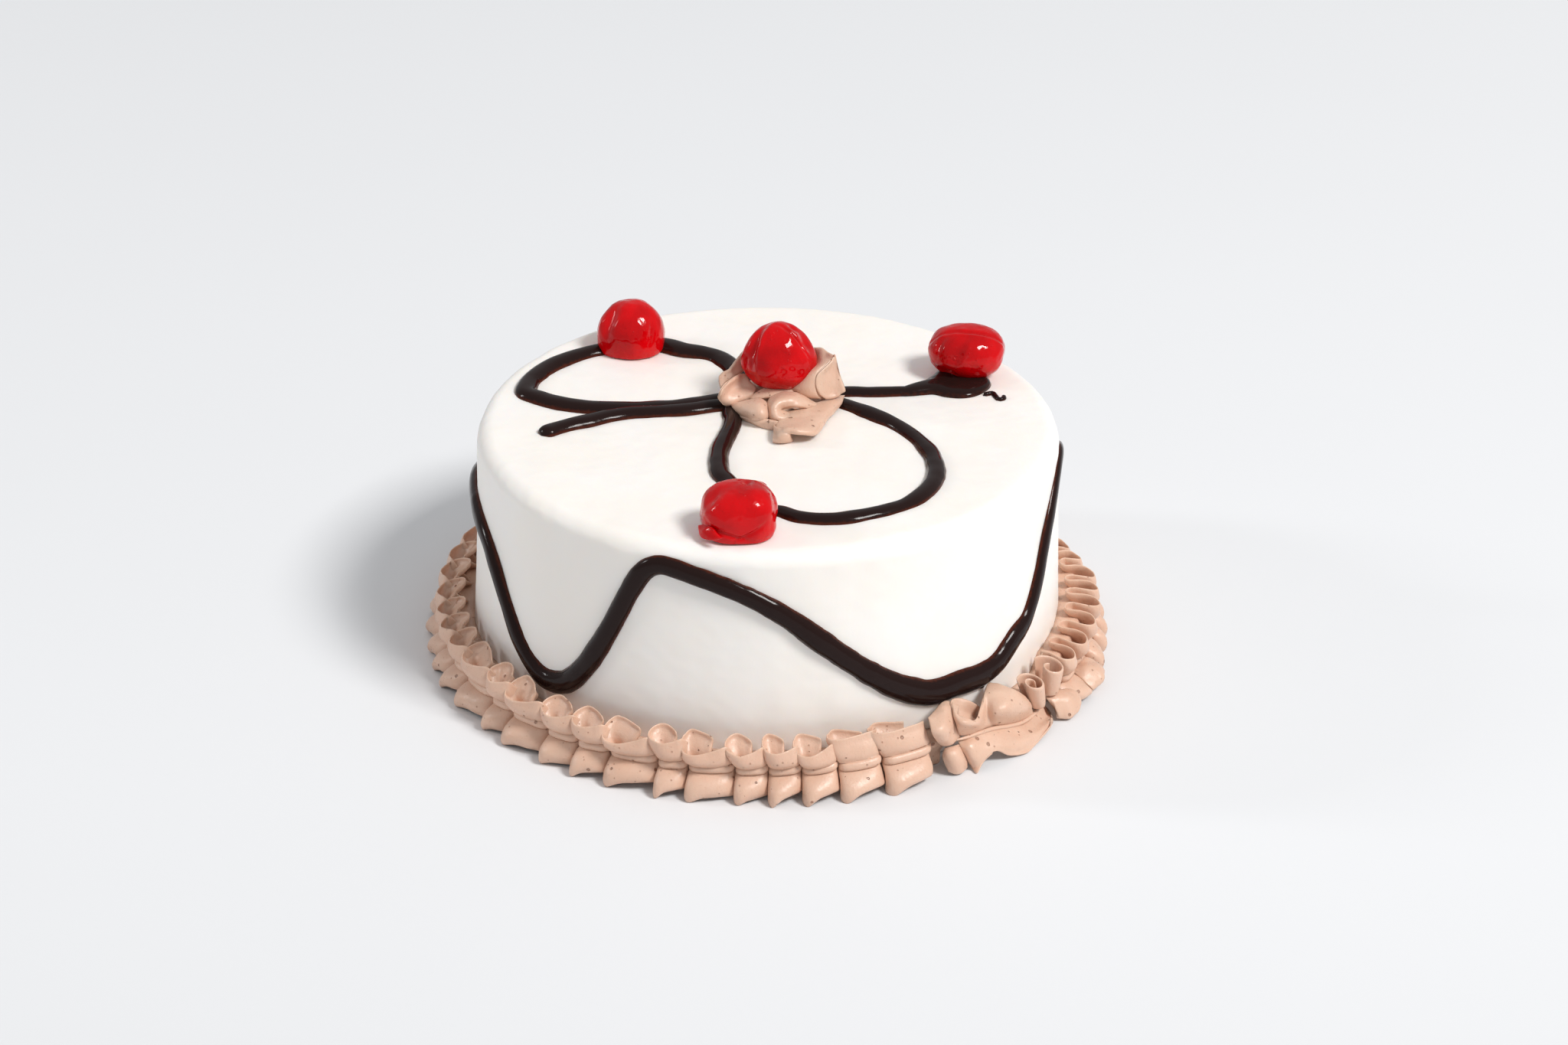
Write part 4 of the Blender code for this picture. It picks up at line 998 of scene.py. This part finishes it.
# nets of points in millimetres from the rosette's centre on the flat top
ROSETTE_SHEETS = {
    "cone": (
        ((9.3, 9, 14.3), (11.5, 7, 15.1), (13.3, 4, 15.1), (15.1, -0.5, 16.1)),
        ((10.3, 6, 12.5), (11.7, 3.5, 13.6), (12.9, 1.5, 14), (14.2, -1.2, 14.5)),
        ((9.7, 2, 11.2), (10.8, 0, 12.5), (11.6, -1.8, 13.3), (12.6, -3.2, 13.7)),
        ((6.7, -0.5, 10.3), (7.8, -3, 11.4), (9, -4.7, 11.9), (10.1, -5.4, 11.8)),
        ((3.9, -2, 8.4), (5.8, -4.8, 9.3), (7.6, -6.1, 9.5), (9.6, -6.2, 9)),
        ((1.8, -3, 6.9), (4.2, -5.6, 6.8), (7.2, -6.5, 6.3), (10.4, -6.3, 5.9)),
        ((3.3, -2, 5.1), (6, -5, 4.7), (9.3, -6, 4.2), (12.6, -5.4, 3.7)),
    ),
    "cone_mouth": (
        ((14.8, -1, 15.4), (15.1, -0.9, 16), (15.3, -0.8, 16.5), (15.6, -0.6, 16.2)),
        ((12.5, -3.6, 13.9), (13.9, -1.6, 13.2), (15.3, -0.6, 12.7), (16.4, -0.6, 12.2)),
        ((9.9, -5.8, 12), (12.2, -3.4, 10.8), (14.9, -1.6, 9.8), (17.3, -1.6, 9.3)),
        ((9.4, -6.7, 9.3), (11.9, -4.6, 7.9), (15.2, -3, 6.6), (18.7, -3.2, 5.8)),
        ((10.5, -6.8, 6.1), (12.7, -5.2, 5.1), (15.1, -4, 4.5), (17.6, -3.6, 4.8)),
        ((12.6, -5.9, 3.9), (13.9, -5.4, 3.7), (15.3, -4.8, 3.7), (16.6, -4.2, 4)),
    ),
    "ledge": (
        ((-10.5, -5.1, 3.5), (-7.7, -3.9, 5), (-5.2, -2.7, 6), (-2, -2.8, 6.3), (1.5, -2.6, 6),
         (5, -3.7, 4.5), (8.5, -4.8, 3)),
        ((-10, -5.9, 3.6), (-7.3, -6.2, 4.8), (-4.5, -6.1, 5.8), (-1.3, -6.2, 6.4), (2.4, -4.8, 6),
         (5.7, -5.1, 4.4), (9.1, -6, 2.8)),
        ((-9.6, -5.1, 3), (-7, -6.7, 4), (-5.2, -7.4, 4.6), (-3.1, -7.6, 5), (1.5, -6.5, 5),
         (5.7, -5.9, 3.5), (9.6, -5.9, 2)),
    ),
    "fold": (
        ((11.2, -7.5, 2.5), (10.7, -8.2, 2.6), (10.3, -7.8, 2.4)),
        ((8.4, -7.2, 3.6), (7.7, -10.9, 4.6), (6.8, -11.9, 3.8)),
        ((5.7, -6.4, 5), (4.9, -11.6, 6.2), (4.2, -14.2, 5)),
        ((2.9, -5.9, 6), (2.2, -12.7, 7.2), (1.7, -14.4, 5.2)),
        ((-0.8, -5.9, 6), (-1.3, -14.4, 7.2), (-0.3, -14.6, 5)),
        ((-4, -7.8, 4.8), (-2.9, -16, 6.4), (-0.8, -14.8, 4.6)),
        ((-4.9, -12.8, 3.6), (-2.9, -17.3, 5), (-0.6, -14.6, 4)),
        ((-4.2, -16.1, 2.4), (-1.9, -18.5, 3.8), (0.6, -13.8, 3.4)),
        ((-2.2, -17.5, 1.8), (0.4, -18.2, 3.2), (2.4, -13.6, 2.8)),
        ((2.4, -18.2, 2.2), (4.2, -17.3, 2.8), (5.2, -13, 2.4)),
        ((9.3, -14.1, 1.8), (8.6, -12.8, 2.2), (8, -10.2, 2)),
        ((13.1, -8.8, 1.6), (11.9, -8, 2), (10.5, -7, 2)),
    ),
    "tongue": (
        ((1.4, -8, 3), (6, -8.3, 3.2), (10.2, -6.2, 3), (14.5, -1.7, 2.6), (18.6, 0.6, 2.2)),
        ((0.5, -13.4, 3), (5.1, -13.9, 3.2), (9.7, -12.1, 3), (14.4, -8.4, 2.8), (17.9, -3.2, 2)),
        ((-1.8, -19.2, 2.6), (3.2, -19.5, 3.4), (8.3, -18.9, 3.4), (12.7, -13.9, 2.6), (16.2, -6.2, 1)),
        ((-2.3, -22.8, 2.4), (1.8, -24.6, 3.8), (5.9, -25.5, 4), (10.3, -21.2, 3), (13.9, -10.8, 0.6)),
        ((-1.8, -28.4, 2.8), (1.4, -28.6, 4.4), (5, -29, 4.2), (9.1, -26.1, 2.8), (12.1, -16.2, 0.6)),
        ((-0.9, -29.9, 2), (2.1, -28.6, 3.4), (5.5, -28.7, 3), (9.6, -25.7, 1.6), (11.3, -18.9, 0.4)),
    ),
    "tongue_lobe": (
        ((-2.8, -20, 2), (-1.5, -24.6, 3.2), (0.1, -26.7, 4), (1.7, -27.7, 4)),
        ((-2.8, -24.4, 1.6), (-1.2, -28.2, 3.2), (0.6, -29.1, 3.4), (1.9, -28, 2.6)),
        ((-3, -26.9, 0.8), (-1.2, -29.4, 2), (0.8, -29.1, 1.9), (2.4, -27.3, 1)),
        ((-3.3, -27.4, 0), (-1.2, -28, 0.2), (0.8, -27.7, 0.2), (2.9, -26.7, 0)),
    ),
    "spoon": (
        ((-16.5, -4.5, 9), (-14.7, -2.2, 9.5), (-12.9, 1.1, 9), (-11.3, 2.7, 8)),
        ((-18.5, -8.3, 8.5), (-16.1, -3.4, 7.5), (-13.3, -0.7, 7), (-10.1, -0.1, 7)),
        ((-19.4, -9.5, 7), (-16.8, -4.7, 5.8), (-13.3, -2.4, 5.5), (-8.2, -2.3, 6)),
        ((-19.7, -8.5, 5), (-17, -6.5, 4.6), (-13.7, -4.8, 4.6), (-8.9, -4.5, 5)),
        ((-18.3, -6.4, 2.5), (-16.3, -6.9, 3), (-13.5, -5.7, 3.5), (-10, -4.7, 3.8)),
        ((-17, -5.3, 1.5), (-15.6, -5.3, 1.5), (-13.3, -4.7, 2), (-10.7, -4.2, 2.8)),
    ),
    "back_left": (
        ((-11.6, 10.2, 12), (-13.2, 8.4, 12), (-14.6, 6.7, 11), (-16.4, 3.8, 9.5), (-18.5, 3.2, 8.5),
         (-19.6, 2, 7.5)),
        ((-11.1, 10, 9.5), (-12.5, 7.8, 9.5), (-14.1, 5.5, 9), (-16.2, 3.2, 8), (-18.2, 2.5, 7),
         (-19.7, 1.4, 6)),
        ((-11.1, 7.7, 7.5), (-12.5, 5.4, 7.5), (-14.3, 3.3, 7.2), (-16.4, 1.7, 6.4), (-18, 0.8, 5.5),
         (-19.1, -0.3, 4.5)),
    ),
    "oval": (
        ((-16, -5.3, 1.5), (-12.8, -6.8, 3), (-10, -6.7, 4), (-7.3, -7.4, 4.6), (-5.2, -8.8, 4)),
        ((-15.6, -7.4, 2), (-12.8, -11.1, 4), (-9.8, -12.9, 5.4), (-7, -13.6, 6), (-4.9, -12.5, 4.5)),
        ((-14.6, -9.2, 1.8), (-12.3, -13.4, 3.6), (-9.5, -16.3, 5), (-6.8, -17.5, 5.6), (-4.7, -15.2, 4)),
        ((-13.2, -10.5, 1.2), (-11.1, -14.5, 2.6), (-8.8, -17.6, 3.6), (-6.5, -18.4, 4), (-4.7, -16.3, 3)),
        ((-11.8, -10.2, 0.3), (-10.4, -12.9, 0.8), (-8.6, -15.9, 1.5), (-6.5, -17, 1.8), (-5.1, -15, 1.6)),
    ),
    "hem": (
        ((-13.7, -11.2, 1.5), (-9.9, -15.8, 2.2), (-7.2, -18.6, 2.8), (-4.7, -18.8, 3.2), (-1.7, -20.5, 3.5)),
        ((-13.2, -10.9, 0.6), (-10.2, -14.8, 1.2), (-7.6, -17.2, 1.4), (-5.1, -18.7, 1.6),
         (-2.1, -20.6, 1.8)),
        ((-12.7, -10.2, 0), (-10.4, -13.3, 0), (-8.1, -15.4, 0), (-5.8, -17.5, 0), (-2.8, -19.5, 0)),
    ),
}
# hidden petals behind: bearing in degrees, length, height of the rim, radius of the roll
ROSETTE_BACK = ((128, 17, 7.5, 5.0), (96, 17, 7.5, 5.0), (64, 16.5, 7.0, 4.6), (34, 15.5, 6.0, 4.0))


class CAKE_OT_rosette(bpy.types.Operator):
    """Add the rosette: soft sheets through nets of points round a low mound"""

    bl_idname = "cake.rosette"
    bl_label = "Rosette"

    def execute(self, context):
        sizes = context.scene.cake_sizes
        centre = np.array([*ROSETTE_CENTRE, sizes.height])
        shells = Shells()
        mound(shells, sizes)
        for net in ROSETTE_SHEETS.values():
            sheet(shells, centre + net, 1.5)
        for bearing, length, rim, roll in ROSETTE_BACK:
            way = round_axis(1.0, math.radians(bearing), 0.0)
            spine = [(0, 1, 4.5) + 7 * way, (0, 1, 0.9 * rim) + 0.7 * length * way,
                     (0, 1, rim) + length * way]
            scoop(shells, centre + spine, (2.0, 0.9 * roll, roll), 10, 150)
        finish = cream_finish(context.scene.cake_colours.cream)
        wear(shells.object("rosette_cream"), finish, "cream", "rosette")
        return {"FINISHED"}


# cherries

# centre, radii across, back, up and down, squareness (2 is round), height of the foot, then dents as
# direction, depth, length, width and tilt
CHERRIES = {
    "cherry_centre": (
        (3.2, 14.0, 84.6), (11.7, 11.2, 12.9, 8.4), 1.85, 78.0,
        (((0.714, -0.121, 0.688), 0.11, 0.42, 0.30, -40),
         ((0.49, -0.40, 0.77), 0.085, 0.42, 0.06, -36),
         ((0.36, 0.03, 0.93), 0.07, 0.16, 0.14, 0),
         ((0.77, -0.22, 0.59), 0.06, 0.3, 0.24, 0),
         ((-0.75, -0.40, 0.54), 0.14, 0.55, 0.15, 66),
         ((-0.51, -0.54, 0.68), -0.035, 0.45, 0.07, 68),
         ((-0.93, -0.35, 0.11), 0.1, 0.35, 0.13, 72),
         ((-0.80, -0.52, -0.30), 0.09, 0.3, 0.16, 40),
         ((0.30, -0.95, 0.10), 0.03, 0.5, 0.2, -10)),
    ),
    "cherry_back_left": (
        (-43.2, 51.0, 76.0), (10.7, 10.3, 12.1, 12.0), 2.05, 72.1,
        (((-0.61, -0.48, 0.64), 0.12, 0.42, 0.20, 62),
         ((0.62, -0.72, 0.32), 0.06, 0.35, 0.1, 80),
         ((0.45, -0.89, -0.04), -0.03, 0.3, 0.12, 20),
         ((-0.20, -0.90, -0.38), 0.04, 0.6, 0.12, 0)),
    ),
    "cherry_right": (
        (60.9, 33.6, 79.9), (11.8, 10.0, 7.9, 8.3), 2.25, 72.1,
        (((-0.60, -0.59, -0.54), 0.30, 0.26, 0.22, 20),
         ((-0.26, -0.88, 0.39), 0.11, 0.5, 0.17, 72),
         ((-0.04, -0.88, 0.47), -0.03, 0.5, 0.07, 72),
         ((0.04, -0.29, 0.96), 0.07, 0.75, 0.07, -6),
         ((0.09, -0.45, 0.89), -0.03, 0.7, 0.07, -6),
         ((-0.67, -0.47, 0.58), 0.06, 0.35, 0.12, 60)),
    ),
    "cherry_front": (
        (-8.1, -73.3, 77.6), (10.8, 9.6, 9.0, 9.4), 2.6, 72.1,
        (((-0.28, -0.94, -0.22), 0.08, 0.5, 0.07, -20),
         ((0.28, -0.94, -0.21), 0.08, 0.42, 0.07, 32),
         ((-0.67, -0.30, 0.70), 0.15, 0.40, 0.24, 40),
         ((0.593, -0.165, 0.787), -0.07, 0.30, 0.26, 0),
         ((0.21, 0.29, 0.93), 0.12, 0.12, 0.22, 0),
         ((0.90, -0.25, 0.36), 0.05, 0.2, 0.5, 0),
         ((-0.16, -0.80, 0.58), -0.02, 0.4, 0.3, 0)),
    ),
}


def cherry_grid(centre, radii, square, foot, dents, seed, rings=150, steps=220):
    """A rounded block pressed in by dents, with slow lumps and a flat underside.

    The radius is 1 / (|x|^q + |y|^q + |z|^q)^(1/q) for the squareness q, less depth times
    exp(-(u/length)^2 - (v/width)^2) for each dent, where u and v lie across the dent's direction.
    """
    polar = np.linspace(0.012, math.pi - 0.012, rings)[:, None]
    way = round_axis(np.sin(polar), circle(steps), np.cos(polar))
    size = np.sum(np.abs(way) ** square, axis=-1) ** (-1 / square)
    for toward, depth, length, width, tilt in dents:
        toward = unit(np.array(toward))
        right = unit(np.array([1.0, 0, 0]) - toward[0] * toward)
        up = np.cross(toward, right)
        along = right * math.cos(math.radians(tilt)) + up * math.sin(math.radians(tilt))
        u, v, ahead = way @ along, way @ np.cross(toward, along), way @ toward
        size -= depth * np.exp(-(u / length) ** 2 - (v / width) ** 2) * np.clip(2 * ahead, 0, 1)
    size += 0.02 * waves(way * 10, seed, 9) + 0.006 * waves(way * 10, seed + 1, 3)
    across, back, above, below = radii
    spot = way * (across, back, 1) * size[..., None]
    spot[..., 2] *= np.where(way[..., 2] > 0, above, below)
    low = foot - centre[2]
    depth = spot[..., 2] - low
    spot[..., 2] = low + np.where(depth > 0.8, depth, 0.8 * np.exp(np.minimum(depth / 0.8 - 1, 0)))
    return spot + np.array(centre)


# torn skin of the front cherry: nets of points from its centre
TORN_SKIN = (
    (
        ((-8.9, -4.8, -0.6), (-10.2, -3.6, -1.6), (-11.5, -2.4, -2.5)),
        ((-7.1, -7.6, -0.5), (-9.4, -6.6, -1.9), (-11.2, -4.5, -3.2)),
        ((-5.8, -9.6, -1.3), (-8.3, -8.7, -2.8), (-10.8, -6.0, -3.9)),
        ((-4.4, -10.8, -2.2), (-7.1, -10.0, -3.4), (-9.5, -7.6, -4.0)),
    ),
    (
        ((2.1, 7.0, 4.9), (4.2, 5.6, 5.5), (6.3, 5.9, 5.0), (8.0, 6.5, 3.9)),
        ((2.5, 7.7, 5.2), (4.5, 6.4, 6.0), (6.3, 6.5, 5.6), (7.8, 7.0, 4.6)),
        ((2.8, 8.8, 5.2), (4.9, 8.1, 5.9), (6.6, 7.9, 5.6), (7.6, 8.0, 4.7)),
    ),
)


class CAKE_OT_cherries(bpy.types.Operator):
    """Add the cherries: dented balls with a flat foot under a wet skin"""

    bl_idname = "cake.cherries"
    bl_label = "Cherries"

    def execute(self, context):
        finish = cherry_finish(context.scene.cake_colours.cherry)
        for seed, (name, facts) in enumerate(CHERRIES.items()):
            shells = Shells()
            shells.tube(cherry_grid(*facts, seed * 5 + 2))
            if name == "cherry_front":
                for net in TORN_SKIN:
                    sheet(shells, np.array(net) + facts[0], 1.3)
            wear(shells.object("glazed_" + name), finish, "cherry", name)
        return {"FINISHED"}


# stage

# the camera fitted to the photo: place in metres, its three directions and its lens
CAMERA_PLACE = (0.0, -0.962318, 0.532864)
CAMERA_RIGHT = (0.99996083, -0.00061096, 0.00882962)
CAMERA_UP = (-0.00756952, 0.45795761, 0.8889418)
CAMERA_AHEAD = (0.0045867, 0.88897382, -0.45793505)
LENS_MM = 81.458
# lights: place, aim and size in metres, power in watts, colour
LIGHTS = {
    "key": ((2.5, -1.62, 3.45), (0, 0, 0.05), (1.15, 1.15), 170, (1.0, 0.985, 0.965)),
    "strip": ((-2.6, 0.3, 1.3), (0, 0, 0.08), (0.25, 0.6), 11, (1, 1, 1)),
}
SKY_COLOUR = (0.97, 0.985, 1.0, 1)
SKY_STRENGTH = 0.47
FLOOR_HALF = 8


def place_light(name, place, aim, size, power, colour):
    """A soft light at a place, turned towards a point."""
    data = bpy.data.lights.new(name, "AREA")
    data.shape = "RECTANGLE"
    data.size, data.size_y = size
    data.energy = power
    data.color = colour
    light = bpy.data.objects.new(name, data)
    way = np.array(aim, float) - np.array(place, float)
    light.location = place
    light.rotation_euler = (math.acos(-way[2] / np.linalg.norm(way)), 0, math.atan2(-way[0], way[1]))
    bpy.context.scene.collection.objects.link(light)


def place_floor(colour):
    """The pale floor, faintly clouded, with painted shade that makes it a little darker towards the front."""
    shade = Shade("floor", Roughness=0.6, Specular_IOR_Level=0.2)
    tint = shade.mix(shade.noise(160, 2), colour, dimmed(colour, 0.985, 0.985, 0.985))
    painted_shade_y = shade.node("ShaderNodeSeparateXYZ", {}, {0: shade.position()}, 1)
    # painted shade: the floor's colour falls to 0.88 of itself towards the front
    tint = shade.mix(shade.step(painted_shade_y, -0.05, -0.5), tint, dimmed(colour, 0.88, 0.88, 0.88))
    corners = [(x * FLOOR_HALF, y * FLOOR_HALF, 0) for x, y in ((-1, -1), (1, -1), (1, 1), (-1, 1))]
    mesh = bpy.data.meshes.new("floor")
    mesh.from_pydata(corners, [], [(0, 1, 2, 3)])
    mesh.materials.append(shade.feed(Base_Color=tint))
    floor = bpy.data.objects.new("floor", mesh)
    bpy.context.scene.collection.objects.link(floor)


def place_sky():
    """The even light of the studio's walls."""
    world = bpy.data.worlds.new("studio")
    world.use_nodes = True
    back = world.node_tree.nodes["Background"]
    back.inputs["Color"].default_value = SKY_COLOUR
    back.inputs["Strength"].default_value = SKY_STRENGTH
    bpy.context.scene.world = world


def place_camera():
    """The camera at the photo's angle."""
    data = bpy.data.cameras.new("camera")
    data.lens = LENS_MM
    data.sensor_width = 36.0
    data.sensor_fit = "HORIZONTAL"
    data.clip_end = 50
    camera = bpy.data.objects.new("camera", data)
    matrix = np.eye(4)
    matrix[:3] = np.transpose([CAMERA_RIGHT, CAMERA_UP, np.negative(CAMERA_AHEAD), CAMERA_PLACE])
    camera.matrix_world = Matrix(matrix.tolist())
    bpy.context.scene.collection.objects.link(camera)
    bpy.context.scene.camera = camera


class CAKE_OT_stage(bpy.types.Operator):
    """Add the pale floor, the soft studio light and the camera"""

    bl_idname = "cake.stage"
    bl_label = "Stage"

    def execute(self, context):
        place_floor(context.scene.cake_colours.floor)
        place_sky()
        for name, facts in LIGHTS.items():
            place_light(name, *facts)
        place_camera()
        context.scene.view_settings.view_transform = "Standard"
        return {"FINISHED"}


class CAKE_PT_panel(bpy.types.Panel):
    """The cake's pieces in the sidebar."""

    bl_idname = "CAKE_PT_panel"
    bl_label = "Cake"
    bl_space_type = "VIEW_3D"
    bl_region_type = "UI"
    bl_category = "Cake"

    def draw(self, context):
        for group in (context.scene.cake_sizes, context.scene.cake_colours):
            for name in group.__annotations__:
                self.layout.prop(group, name)
        for operator in OPERATORS:
            self.layout.operator(operator.bl_idname)


OPERATORS = (CAKE_OT_frosting, CAKE_OT_chocolate, CAKE_OT_ruffle, CAKE_OT_rosette, CAKE_OT_cherries,
             CAKE_OT_stage)


def register():
    """Register the classes and the two groups of settings."""
    for cls in (CakeSizes, CakeColours, *OPERATORS, CAKE_PT_panel):
        bpy.utils.register_class(cls)
    bpy.types.Scene.cake_sizes = bpy.props.PointerProperty(type=CakeSizes)
    bpy.types.Scene.cake_colours = bpy.props.PointerProperty(type=CakeColours)


def unregister():
    """Remove them again."""
    del bpy.types.Scene.cake_colours
    del bpy.types.Scene.cake_sizes
    for cls in (CAKE_PT_panel, *reversed(OPERATORS), CakeColours, CakeSizes):
        bpy.utils.unregister_class(cls)


def main():
    """Build every piece."""
    register()
    bpy.ops.cake.frosting()
    bpy.ops.cake.chocolate()
    bpy.ops.cake.ruffle()
    bpy.ops.cake.rosette()
    bpy.ops.cake.cherries()
    bpy.ops.cake.stage()


if __name__ == "__main__":
    main()
